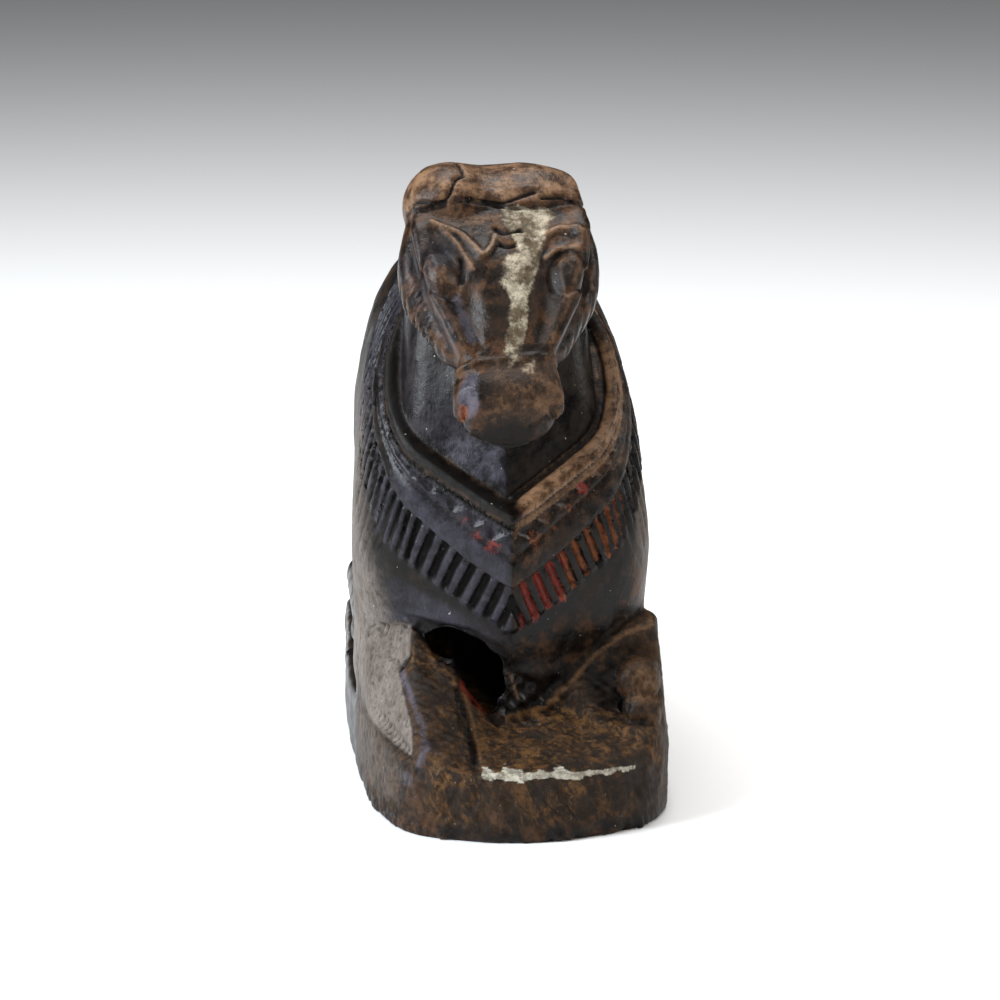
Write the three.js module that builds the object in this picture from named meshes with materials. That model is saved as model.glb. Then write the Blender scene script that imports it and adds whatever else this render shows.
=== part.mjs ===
// A seated Nandi bull carved with its plinth from one block of dark hardwood: head held up, legs folded
// under it, a broad stepped collar with a gouged fringe over the chest and shoulders, and a hump behind it.
// Millimetres, +Z up. The bull looks along -Y, and the origin is at the middle of the underside.
import * as THREE from "three";

// Driving sizes of the carving.
const HEIGHT = 170;
const WIDTH = 85;
const LENGTH = 200;
const PLINTH_HEIGHT = 19;
const PLINTH_EDGE = 3; // how far the plinth stands out past the flanks
const COLLAR_STEP = 4.4; // drop from the collar down to the neck
const FRINGE_DEPTH = 1.5; // depth of the gouge strokes in the fringe
const FRINGE_PITCH = 3.5; // from one stroke to the next
const TOOTH_PITCH = 5.2; // from one triangle of the pattern band to the next
const COLLAR_RISE = 1.1; // how far the collar's bands stand out from the chest
const BROW_RISE = 1.2;
const EYE_RISE = 1.3;
const TAIL_WIDTH = 8;

// The carver's drawing: x across from the chest's keel, b back from the front of the block and z up, for a
// block of this size. Pose and proportions are read off it and set out to the real width, length and height.
const DRAWN = { width: 85, length: 200, height: 170, plinth: 19, edge: 3, middle: 2.3 };
const ACROSS = WIDTH / DRAWN.width;
const ALONG = LENGTH / DRAWN.length;
const UPWARD = HEIGHT / DRAWN.height;

// How finely the block is cut before its flat stretches are merged into larger faces.
const FINE_CELL = 0.9;
const COARSE_CELL = 1.7;
const FACES = 9800;

const { abs, min, max, sqrt, hypot, atan2, cos, sin, PI } = Math;
const clamp = (v, low, high) => max(low, min(high, v));
const mix = (a, b, t) => a + (b - a) * t;

// 0 before from, 1 after to, smooth between them.
function ease(v, from, to) {
  const t = clamp((v - from) / (to - from), 0, 1);
  return t * t * (3 - 2 * t);
}

// 1 inside a stretch, falling to 0 over soft on either side of it.
const within = (v, from, to, soft) => ease(v, from - soft, from + soft) * (1 - ease(v, to - soft, to + soft));

// Joins two forms, with a fillet about k wide where they meet.
function join(a, b, k) {
  const h = max(k - abs(a - b), 0) / k;
  return min(a, b) - (h * h * k) / 4;
}

// Keeps only what is inside both forms, with a rounded edge about k wide.
const keep = (a, b, k) => -join(-a, -b, k);

// A rounded ridge of height 1 where off is 0, falling to nothing at this width to either side.
const roll = (off, width) => (abs(off) < width ? cos((PI / 2) * (off / width)) ** 2 : 0);

// A smooth curve through [along, value] points, read as value at a place along it.
function curve(points) {
  const places = 240;
  const line = new THREE.SplineCurve(points.map(([a, v]) => new THREE.Vector2(a, v)));
  const samples = line.getPoints(places * 3);
  const [start, end] = [points[0][0], points.at(-1)[0]];
  const table = new Float64Array(places + 1);
  for (let i = 0, j = 0; i <= places; i++) {
    const a = start + ((end - start) * i) / places;
    while (j < samples.length - 2 && samples[j + 1].x < a) j++;
    const [p, q] = [samples[j], samples[j + 1]];
    table[i] = mix(p.y, q.y, clamp((a - p.x) / (q.x - p.x || 1), 0, 1));
  }
  return (a) => {
    const t = clamp(((a - start) / (end - start)) * places, 0, places - 1e-6);
    const i = t | 0;
    return mix(table[i], table[i + 1], t - i);
  };
}

// Distance to an egg-shaped mass. Every form is negative inside and positive outside.
function egg(x, b, z, [cx, cb, cz], [rx, rb, rz]) {
  const [dx, db, dz] = [(x - cx) / rx, (b - cb) / rb, (z - cz) / rz];
  const near = sqrt(dx * dx + db * db + dz * dz);
  const slope = hypot(dx / rx, db / rb, dz / rz);
  return slope < 1e-9 ? -min(rx, rb, rz) : (near * (near - 1)) / slope;
}

// Distance to a round bar from p to q, whose radius runs from rp to rq.
function bar(x, b, z, p, q, rp, rq) {
  const [vx, vb, vz] = [q[0] - p[0], q[1] - p[1], q[2] - p[2]];
  const [wx, wb, wz] = [x - p[0], b - p[1], z - p[2]];
  const t = clamp((vx * wx + vb * wb + vz * wz) / (vx * vx + vb * vb + vz * vz), 0, 1);
  return hypot(wx - vx * t, wb - vb * t, wz - vz * t) - mix(rp, rq, t);
}

// Distance to a section between a round and a square one, of half widths w and h. A higher power is squarer.
function section(u, v, w, h, power) {
  const [au, av] = [abs(u) / w, abs(v) / h];
  const sum = au ** power + av ** power;
  if (sum < 1e-6) return -min(w, h);
  const near = sum ** (1 / power);
  const slope = near ** (1 - power) * hypot(au ** (power - 1) / w, av ** (power - 1) / h);
  return (near - 1) / slope;
}

// The body's outlines: its back line with the hump, its half width, and the keel where the chest facets meet.
const backLine = curve([
  [0, 92], [20, 106], [40, 119], [60, 130], [80, 137], [96, 139], [106, 141.5], [116, 142], [126, 136],
  [136, 124.5], [147, 114], [160, 108], [174, 105.5], [186, 101], [195, 91], [204, 72],
]);
const flank = curve([
  [0, 33], [22, 36.5], [40, 38.6], [62, 39], [85, 38.8], [108, 38], [125, 35.4], [142, 32.4], [165, 31],
  [185, 30.4], [204, 27],
]);
const chestKeel = curve([
  [0, 44], [18, 42], [26, 37], [34, 30.5], [42, 27], [50, 25], [62, 23.6], [80, 24], [96, 27], [115, 33],
  [140, 44],
]);
const FACET_SLOPE = 0.5; // how fast the chest falls back to either side of its keel
const BODY_POWER = 3;
const BODY_FLOOR = -30; // below the plinth, so that the flanks come down to it upright

// The neck's keel as it would run flush with the collar, its back line and its half width.
const neckKeel = curve([
  [60, 22.6], [84, 24.2], [100, 27.1], [115, 30.6], [130, 35.6], [150, 42.6], [170, 47.6],
]);
const neckBack = curve([[60, 110], [100, 104], [120, 97], [135, 86], [148, 77], [160, 72], [170, 68]]);
const neckHalf = curve([
  [60, 34], [84, 31], [100, 28.2], [115, 25.6], [128, 23.8], [142, 21.8], [156, 19.5], [170, 17],
]);
const LEAN = -1.2; // the neck stands a little off the middle of the block
const HEAD_LEAN = -2.3;

// The collar's bands are rings in planes that fan out from one line above and behind the rump, so that they
// are widest at the chest. ringAt gives a point's place across the bands, in millimetres at the chest, from
// the fringe's outer edge.
const FAN = { b: 192.5, z: 249, reach: 250, fringe: 50.2 };
const ringAt = (b, z) => ((FAN.fringe * PI) / 180 - atan2(FAN.z - z, FAN.b - b)) * FAN.reach;

// Where each band starts across the rings, by how far back the place is: the fringe spreads over the flanks,
// and the bands above it are widest over the chest.
const fringeFrom = curve([
  [18, -1.2], [30, 1], [42, 3.4], [50, 2.4], [60, -2], [72, -6], [90, -7.5], [130, -5],
]);
const plainFrom = curve([[18, 9.7], [28, 10.4], [36, 12.6], [44, 14.2], [60, 15], [130, 15]]);
const patternFrom = curve([[18, 15], [28, 16.2], [36, 17.6], [50, 18.4], [130, 18.6]]);
const ROLL = { from: 21, to: 23.2 }; // the thin roll along the collar's upper edge

// A point's place along the bands. The gouge strokes follow it: square to the bands on the chest, upright on
// the flanks.
function alongBands(x, b, z) {
  const side = ease(b, 36, 50);
  return 0.78 * abs(x) + 0.9 * max(b - 36, 0) + z * (0.33 - 0.13 * side) + 10.4 * side;
}

// The relief of the collar's bands at a point of the body, outwards.
function collarRelief(x, b, z, q) {
  if (q < -9) return 0;
  const [outer, plain, pattern] = [fringeFrom(b), plainFrom(b), patternFrom(b)];
  const round = alongBands(x, b, z);
  const stroke = 0.5 - 0.5 * cos((2 * PI * round) / FRINGE_PITCH);
  const strokes = within(q, outer + 0.6, plain - 0.7, 0.6);
  const fringe = (0.5 - FRINGE_DEPTH * ease(stroke, 0.35, 0.75)) * strokes;
  const bands = COLLAR_RISE * within(q, plain, ROLL.to + 2, 0.45);
  const zigzag = pattern + 1 + (ROLL.from - pattern - 2) * abs(((round / TOOTH_PITCH) % 1) - 0.5) * 2;
  const triangles = -0.6 * within(q, zigzag, ROLL.from - 0.8, 0.35) * ease(q, pattern + 0.6, pattern + 1);
  const lines = -0.8 * (roll(q - pattern, 0.6) + roll(q - ROLL.from, 0.6));
  return fringe + bands + triangles + lines;
}

// Barrel, hump and chest, with the collar. Past the collar's lip the body falls away to the neck.
function body(x, b, z) {
  const [top, half] = [backLine(b), flank(b)];
  const [middle, tall] = [(top + BODY_FLOOR) / 2, (top - BODY_FLOOR) / 2];
  const waist = 2.6 * within(b, 88, 124, 9) * (1 - ease(z, 62, 96));
  const barrel = section(x, z - middle, half - waist, tall, BODY_POWER);
  const setBack = 4 * ease(-x, 18, 32) * (1 - ease(z, 46, 60)); // room for the near foreleg's shin
  const facets = (chestKeel(z) + FACET_SLOPE * abs(x) + setBack - b) / hypot(1, FACET_SLOPE);
  const rump = b - DRAWN.length + 4 + 0.004 * x * x;
  const mass = keep(keep(barrel, facets, 5 + 0.28 * abs(x)), rump, 30);
  const shallow = mass * 0.89 * (1 - ease(abs(x), 26, 38));
  const q = ringAt(b + shallow, z);
  const past = max(q - ROLL.to, 0);
  return mass - collarRelief(x, b, z, q) + past * 4;
}

function neck(x, b, z) {
  const [front, back, half] = [neckKeel(z) + COLLAR_STEP, neckBack(z), neckHalf(z)];
  const column = section(x - LEAN, b - (front + back) / 2, half, (back - front) / 2 + 5, 2.5);
  const facets = (front + FACET_SLOPE * abs(x - LEAN) - b) / hypot(1, FACET_SLOPE);
  return keep(keep(column, facets, 3.5), z - 163, 8);
}

// The head's own frame: s runs down the face from the front of the crown, n outwards from the face.
const FACE = { b: 35, z: 160, down: 0.684, drop: 0.729 };
const faceHalf = curve([
  [-22, 15], [-12, 20], [0, 22.6], [8, 22.2], [18, 20.9], [27, 18.4], [34, 15.2], [40, 12.6], [43, 12.6],
  [47, 14.2], [52, 15.4], [57, 14.6], [62, 11.8], [68, 8],
]);
const faceTop = curve([
  [-22, -8], [-12, -2], [0, 0], [12, 1.2], [26, 0.4], [38, -2.2], [46, -3.2], [52, -3], [58, -5.2],
  [63, -9.5], [68, -15],
]);
const faceUnder = curve([
  [-22, -38], [0, -42], [14, -39], [28, -32], [38, -27], [46, -25.5], [54, -26], [62, -24.5], [68, -22],
]);

function head(x, b, z) {
  const s = -FACE.down * (b - FACE.b) - FACE.drop * (z - FACE.z);
  const n = -FACE.drop * (b - FACE.b) + FACE.down * (z - FACE.z);
  const u = x - HEAD_LEAN;
  const [half, top, under] = [faceHalf(s), faceTop(s), faceUnder(s)];
  const jaw = 0.05 * max(top - n - 4, 0) ** 2 * ease(s, 42, 52);
  const taper = 0.16 * max(top - n, 0) * (1 - ease(s, 36, 46)) + jaw;
  const cheek = abs(u) - half + taper;
  const mask = keep(keep(cheek, n - top, mix(2.4, 12, ease(s, 38, 50))), under - n, 9);
  const ends = keep(keep(mask, s - 62.5, 12), -18 - s, 10);
  const crown = join(
    egg(u, b, z, [-12.2, 47, 158.2], [12, 13.5, 11.8]),
    egg(u, b, z, [9, 47.5, 157.4], [13, 13, 11.8]),
    6,
  );
  const skull = join(join(ends, crown, 3), egg(u, b, z, [0, 60, 152], [20, 16, 15]), 8);
  const ear = earLeaf(abs(u), s, n);
  return join(skull - faceRelief(u, s, n), ear, 1.2);
}

// The long ears lie flat down the sides of the head, behind the face, with slanted cuts along their lower
// half.
const earOuter = curve([
  [-8, 22], [0, 24.2], [8, 25.8], [15, 25.8], [22, 24], [30, 19.6], [37, 15.6], [42, 10],
]);

function earLeaf(u, s, n) {
  const outer = earOuter(s);
  const leaf = section(u - outer + 5, n + 14, 5, 8.4 - 0.12 * s, 3);
  const cuts = ease(cos((2 * PI * (s + 0.55 * n)) / 4.1), -0.1, 0.7) * within(s, 15, 36, 2);
  return keep(leaf + 0.8 * cuts * ease(u, outer - 3, outer), abs(s - 16) - 23.5, 5);
}

// The carving of the face, outwards: bridge, brows, eyes, forehead mark, nostrils and mouth.
function faceRelief(u, s, n) {
  if (n < -22 || s < -6) return 0;
  const a = abs(u);
  const half = faceHalf(s);
  const rim = 0.9 * ease(a, half - 5.5, half - 2.5) * within(s, 4, 40, 3);
  const bridge = 1.3 * (1 - ease(a, mix(6, 3, s / 40), mix(12, 8, s / 40))) * within(s, 13, 40, 5);
  const hollow = -1.2 * within(a, 9.8 - s * 0.06, 15.8 - s * 0.14, 2.2) * within(s, 25, 38, 5);
  const curls = roll(s - browAt(a), 1.5) + 0.8 * roll(s - browAt(a) - 4.6, 1.3);
  const brow = BROW_RISE * curls * within(a, 4.6, 20, 1.2);
  const crease = -1.1 * roll(s + 0.2 - 0.7 * sin(u * 0.24), 1) * (1 - ease(a, 21, 24));
  const cap = 0.7 * (1 - ease(s, -0.4, 0.6)) * (1 - ease(a, 18, 22));
  const petal = 0.9 * roll(hypot(u - 2.6, s - 6.4) - 3.6, 1) * ease(s, 6.4, 8);
  const crescent = petal + 0.7 * roll(hypot(u - 2, s - 6) - 6.6, 1) * ease(s, 10, 12);
  const eyeShape = hypot((a - 16) / 3.8, (s - 20.8 + 0.3 * (a - 16)) / 5.6);
  const eye = EYE_RISE * (1 - ease(eyeShape, 0.25, 1)) - 0.8 * roll(eyeShape - 1.15, 0.3);
  const noseShape = hypot((a - 10.8) / 2, (s - 55.2) / 2.6);
  const flare = 0.3 * roll(noseShape - 1.5, 0.5) - 0.9 * (1 - ease(noseShape, 0.2, 1));
  const nostril = flare * ease(n, -18, -12);
  const band = 0.6 * roll(s - 44 + 0.1 * u, 1.4);
  const mouth = -1.2 * roll(n + 17.5 + 0.02 * u * u, 1.2) * ease(s, 46, 52);
  return rim + bridge + hollow + brow + crease + cap + crescent + eye + nostril + band + mouth;
}

// Where the brow's curl runs: high at the temple, dropping to a point beside the forehead mark.
const browAt = (a) => 6.2 + 9 * (1 - ease(a, 4.5, 14));

// The plan of the plinth: straight flanks, a bowed front cut well back at its left corner, a rounded rear.
const front = curve([
  [-44, 90], [-41, 62], [-38, 42], [-34.5, 26], [-30, 14], [-25, 8], [-17, 4], [-8, 1], [0, 0], [8, 0.4],
  [17, 3], [28, 8], [36, 14.5], [40.5, 24], [43.5, 38], [46, 56],
]);
const PLAN_HALF = 41.6; // half the plinth's width between its flanks

function plan(x, b) {
  const slope = front(x + 0.5) - front(x - 0.5);
  const bow = (front(x) - b) / hypot(1, slope);
  const middle = 3.6 * (1 - ease(b, 45, 130));
  const sides = abs(x - middle) - PLAN_HALF + 5 * ease(b, 60, 190);
  return keep(keep(bow, sides, 5), b - DRAWN.length, 20);
}

function plinth(x, b, z) {
  const tall = PLINTH_HEIGHT / UPWARD;
  const edge = PLINTH_EDGE / ACROSS;
  const outline = plan(x, b) + (DRAWN.edge - edge);
  return keep(keep(outline, z - tall, 2.5), -z, 2.2);
}

// The folded forelegs, cut as slopes that fall from the chest to the front of the plinth, and the hollow
// between them.
function forelegs(x, b, z) {
  const lift = PLINTH_HEIGHT / UPWARD - DRAWN.plinth;
  const inward = x + 8.4 + 0.3 * b + 0.0012 * b * b; // from the near leg's inner edge
  const wing = min(0.09 * max(-x - 2, 0) ** 2, 14.5) * clamp((b - 15) / 15, 0, 1.05) * ease(inward, -4, -1);
  const shelf = (z - (17.6 + lift + 0.27 * b + wing)) * 0.93;
  const tongue = keep(shelf, b - 60, 1.2);
  const u = x + 25.5;
  const shin = 18.2 + lift + 0.6 * b + 0.0042 * b * b + 0.012 * max(b - 25, 0) ** 2;
  const outerSlope = (z - shin - 1.75 * u) * 0.47;
  const innerSlope = (z - shin + 0.2 * u) * 0.8;
  const rearTop = (z - 49.3 - lift + 0.6 * (b - 38) + 0.3 * min(u, 0)) * 0.8;
  const nearLeg = keep(keep(keep(outerSlope, innerSlope, 2.4), inward * 0.9, 0.6), rearTop, 1.4);
  const farSlope = (z - (lift - 16 + 0.645 * x + 1.075 * b)) * 0.62;
  const farLeg = keep(keep(farSlope, max(b - 68, z - 48 - lift), 3), 8 - x, 3);
  const dish = egg(x, b, z, [36, 24, 42 + lift], [26, 14, 17.5]);
  const knee = keep(bar(x, b, z, [34, 28, 35 + lift], [36, 40, 33 + lift], 5.6, 6.4), 24.4 - b, 2.5);
  const pad = bar(x, b, z, [33.4, 25, 28.6 + lift], [38.6, 24.4, 27.2 + lift], 4, 4);
  const far = join(join(keep(farLeg, -dish, 2), knee, 0.8), pad, 0.8);
  const all = join(join(tongue, nearLeg, 0.6), far, 0.6);
  const inset = x < 0 ? 1 - ease(b, 22, 42) : 1 + 1.7 * ease(b, 50, 70);
  const sides = plan(x, b) + (0.3 + 0.13 * max(z - DRAWN.plinth - lift, 0)) * inset;
  return keep(keep(all, sides, 3), -z, 2.2);
}

// The pocket scooped out under the chest, and how far back the legs and the shelf between them reach.
const pocket = (x, b, z) => egg(x, b, z, [-10.5, 43, 36], [17, 17, 15]);
const brink = (x) => 31.5 + 0.6 * max(x + 2, 0) + 0.45 * max(-x - 11, 0);

// Thighs, folded hind legs and the shoulders' swell, the same on both sides.
function hindlegs(x, b, z) {
  const a = abs(x);
  const thigh = egg(a, b, z, [22, 160, 46], [12.6, 32, 34]);
  const shank = bar(a, b, z, [29, 184, 26], [30.5, 128, 25.5], 7, 6);
  const hoof = bar(a, b, z, [31, 127, 25], [31.5, 112, 23.5], 6.4, 5.4);
  const cleft = bar(a, b, z, [38, 126, 25], [38.2, 106, 24], 0.8, 1.3);
  return join(thigh, keep(join(shank, hoof, 1), -cleft, 0.6), 1.6);
}

function foreArmSide(x, b, z) {
  const a = abs(x);
  const shoulder = egg(a, b, z, [27.5, 62, 66], [12.2, 24, 30]);
  const arm = bar(a, b, z, [31, 96, 28], [31.5, 66, 29], 7, 7);
  return join(shoulder, arm, 3);
}

// The tail runs down the middle of the rump and round the bull's left thigh to a tuft.
const TAIL = new THREE.CatmullRomCurve3([
  new THREE.Vector3(0, 184, 99),
  new THREE.Vector3(1, 193, 80),
  new THREE.Vector3(6, 195, 60),
  new THREE.Vector3(16, 191, 46),
  new THREE.Vector3(27, 181, 42),
  new THREE.Vector3(33, 169, 47),
]).getPoints(10);

function tail(x, b, z) {
  let near = 1e3;
  for (let i = 1; i < TAIL.length; i++) {
    const [p, q] = [TAIL[i - 1].toArray(), TAIL[i].toArray()];
    near = min(near, bar(x, b, z, p, q, TAIL_WIDTH / 2, TAIL_WIDTH / 2));
  }
  const tuft = egg(x, b, z, [33.4, 161, 51], [3.6, 9, 5.5]);
  return join(near, tuft, 2);
}

// The whole carving in the drawing's own units.
function carving(x, b, z) {
  const trunk = join(body(x, b, z), neck(x, b, z), 0.8);
  const limbs = join(join(hindlegs(x, b, z), foreArmSide(x, b, z), 2), tail(x, b, z), 1);
  const figure = join(join(trunk, limbs, 2), head(x, b, z), 2);
  const seated = join(figure, plinth(x, b, z), 1);
  const scoop = pocket(x, b, z);
  const legs = keep(forelegs(x, b, z), -keep(scoop, brink(x) - b, 1), 1);
  const whole = join(keep(seated, -scoop, 1.2), legs, 0.8);
  const block = max(abs(x - DRAWN.middle) - DRAWN.width / 2, -b, b - DRAWN.length, -z, z - DRAWN.height);
  return max(whole, block);
}

const field = (x, y, z) => carving(x / ACROSS + DRAWN.middle, (y + LENGTH / 2) / ALONG, z / UPWARD);

// Places along one axis to cut at: fine where the carving is, coarse behind it.
function places(from, to, stepAt) {
  const list = [from];
  while (list.at(-1) < to) list.push(list.at(-1) + stepAt(list.at(-1)));
  return list;
}

const BLOCK = 5; // cells along each side of a block

// The form's values at every crossing of the places. Where a whole block of cells is clear of the surface,
// the value at its middle stands for all of it.
function sample(form, xs, ys, zs) {
  const [nx, ny, nz] = [xs.length, ys.length, zs.length];
  const values = new Float32Array(nx * ny * nz);
  for (let k = 0; k < nz; k += BLOCK)
    for (let j = 0; j < ny; j += BLOCK)
      for (let i = 0; i < nx; i += BLOCK) {
        const [ie, je, ke] = [min(i + BLOCK, nx), min(j + BLOCK, ny), min(k + BLOCK, nz)];
        const reach = hypot(xs[ie - 1] - xs[i], ys[je - 1] - ys[j], zs[ke - 1] - zs[k]) / 2;
        const middle = form((xs[ie - 1] + xs[i]) / 2, (ys[je - 1] + ys[j]) / 2, (zs[ke - 1] + zs[k]) / 2);
        const clear = abs(middle) > reach * 1.3 + 3;
        for (let c = k; c < ke; c++)
          for (let b = j; b < je; b++)
            for (let a = i; a < ie; a++)
              values[(c * ny + b) * nx + a] = clear ? middle : form(xs[a], ys[b], zs[c]);
      }
  return values;
}

// Fills in the places where two parts of the surface would touch along an edge or at a point, so that every
// point of the mesh has one sheet of faces round it. [d, e] are the steps along two sides of a square.
function closeTouches(values, step, cells) {
  const fill = (list) => {
    const low = list.reduce((p, q) => (values[p] < values[q] ? p : q));
    values[low] = -1e-3;
  };
  let found = 1;
  while (found) {
    found = 0;
    for (const c of cells) {
      for (const [d, e] of [[step[0], step[1]], [step[1], step[2]], [step[2], step[0]]]) {
        const [p, q, r, s] = [c, c + d, c + d + e, c + e];
        const [ip, iq, ir, is] = [p, q, r, s].map((v) => values[v] < 0);
        if (ip !== ir || iq !== is || ip === iq) continue;
        fill(ip ? [q, s] : [p, r]);
        found++;
      }
      const corners = [];
      for (let n = 0; n < 8; n++)
        corners.push(c + (n & 1) * step[0] + ((n >> 1) & 1) * step[1] + (n >> 2) * step[2]);
      const [inside, outside] = [corners.filter((v) => values[v] < 0), corners.filter((v) => values[v] >= 0)];
      const alone = inside.length === 2 ? inside : outside.length === 2 ? outside : [];
      if (!alone.length || corners.indexOf(alone[0]) + corners.indexOf(alone[1]) !== 7) continue;
      fill(outside);
      found++;
    }
  }
}

// Cuts the form out of the block: one point in each cell that the surface crosses, and a square round each
// crossed edge.
function cutOut(form) {
  const margin = 3;
  const xs = places(-WIDTH / 2 - margin, WIDTH / 2 + margin, () => FINE_CELL * ACROSS);
  const cellAt = (y) => mix(FINE_CELL, COARSE_CELL, ease(y, -20, 10)) * ALONG;
  const ys = places(-LENGTH / 2 - margin, LENGTH / 2 + margin, cellAt);
  const zs = places(-margin, HEIGHT + margin, () => FINE_CELL * UPWARD);
  const [nx, ny, nz] = [xs.length, ys.length, zs.length];
  const at = (i, j, k) => (k * ny + j) * nx + i;
  const values = sample(form, xs, ys, zs);
  const step = [1, nx, nx * ny];
  const axes = [xs, ys, zs];
  const mixed = [];
  for (let k = 0; k < nz - 1; k++)
    for (let j = 0; j < ny - 1; j++)
      for (let i = 0; i < nx - 1; i++) if (abs(values[at(i, j, k)]) < 4) mixed.push(at(i, j, k));
  closeTouches(values, step, mixed);
  const pointOf = new Int32Array(values.length).fill(-1);
  const points = [];
  const corners = [];
  for (let c = 0; c < 8; c++) corners.push([c & 1, (c >> 1) & 1, c >> 2]);
  const edges = [];
  for (let c = 0; c < 8; c++)
    for (let d = 0; d < 3; d++) if (!corners[c][d]) edges.push([corners[c], d]);
  for (let k = 0; k < nz - 1; k++)
    for (let j = 0; j < ny - 1; j++)
      for (let i = 0; i < nx - 1; i++) {
        const [sum, cell] = [[0, 0, 0], [i, j, k]];
        let crossed = 0;
        for (const [corner, d] of edges) {
          const start = [i + corner[0], j + corner[1], k + corner[2]];
          const v0 = values[at(...start)];
          const v1 = values[at(...start) + step[d]];
          if (v0 < 0 === v1 < 0) continue;
          for (let e = 0; e < 3; e++) {
            const low = axes[e][start[e]];
            sum[e] += e === d ? mix(low, axes[e][start[e] + 1], v0 / (v0 - v1)) : low;
          }
          crossed++;
        }
        if (!crossed) continue;
        pointOf[at(...cell)] = points.length;
        points.push(sum.map((v) => v / crossed));
      }
  const faces = [];
  for (let k = 1; k < nz - 1; k++)
    for (let j = 1; j < ny - 1; j++)
      for (let i = 1; i < nx - 1; i++)
        for (let d = 0; d < 3; d++) {
          const here = at(i, j, k);
          const inside = values[here] < 0;
          if (inside === values[here + step[d]] < 0) continue;
          const [s, t] = [step[(d + 1) % 3], step[(d + 2) % 3]];
          const ring = [here, here - s, here - s - t, here - t].map((cell) => pointOf[cell]);
          if (!inside) ring.reverse();
          faces.push([ring[0], ring[1], ring[2]], [ring[0], ring[2], ring[3]]);
        }
  return { points, faces };
}

// Moves a point onto the form's surface, along the form's steepest slope.
function settle(form, point, reach) {
  const step = 0.05;
  const [x, y, z] = point;
  const value = form(x, y, z);
  const ahead = [form(x + step, y, z), form(x, y + step, z), form(x, y, z + step)];
  const slope = ahead.map((v) => (v - value) / step);
  const steep = slope.reduce((sum, v) => sum + v * v, 0);
  const move = steep > 1e-6 ? value / steep : 0;
  const scale = min(1, reach / (abs(move) * sqrt(steep) + 1e-9));
  return point.map((v, i) => v - slope[i] * move * scale);
}

// A queue that gives back its cheapest entry first.
class Queue {
  entries = [];
  push(entry) {
    const list = this.entries;
    let i = list.push(entry) - 1;
    while (i > 0) {
      const up = (i - 1) >> 1;
      if (list[up].cost <= entry.cost) break;
      list[i] = list[up];
      i = up;
    }
    list[i] = entry;
  }
  pop() {
    const list = this.entries;
    const [first, last] = [list[0], list.pop()];
    if (!list.length) return first;
    let i = 0;
    for (;;) {
      let next = 2 * i + 1;
      if (next >= list.length) break;
      if (next + 1 < list.length && list[next + 1].cost < list[next].cost) next++;
      if (list[next].cost >= last.cost) break;
      list[i] = list[next];
      i = next;
    }
    list[i] = last;
    return first;
  }
}

const minus = (p, q) => [p[0] - q[0], p[1] - q[1], p[2] - q[2]];
const cross = (p, q) => [p[1] * q[2] - p[2] * q[1], p[2] * q[0] - p[0] * q[2], p[0] * q[1] - p[1] * q[0]];
const dot = (p, q) => p[0] * q[0] + p[1] * q[1] + p[2] * q[2];

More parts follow.
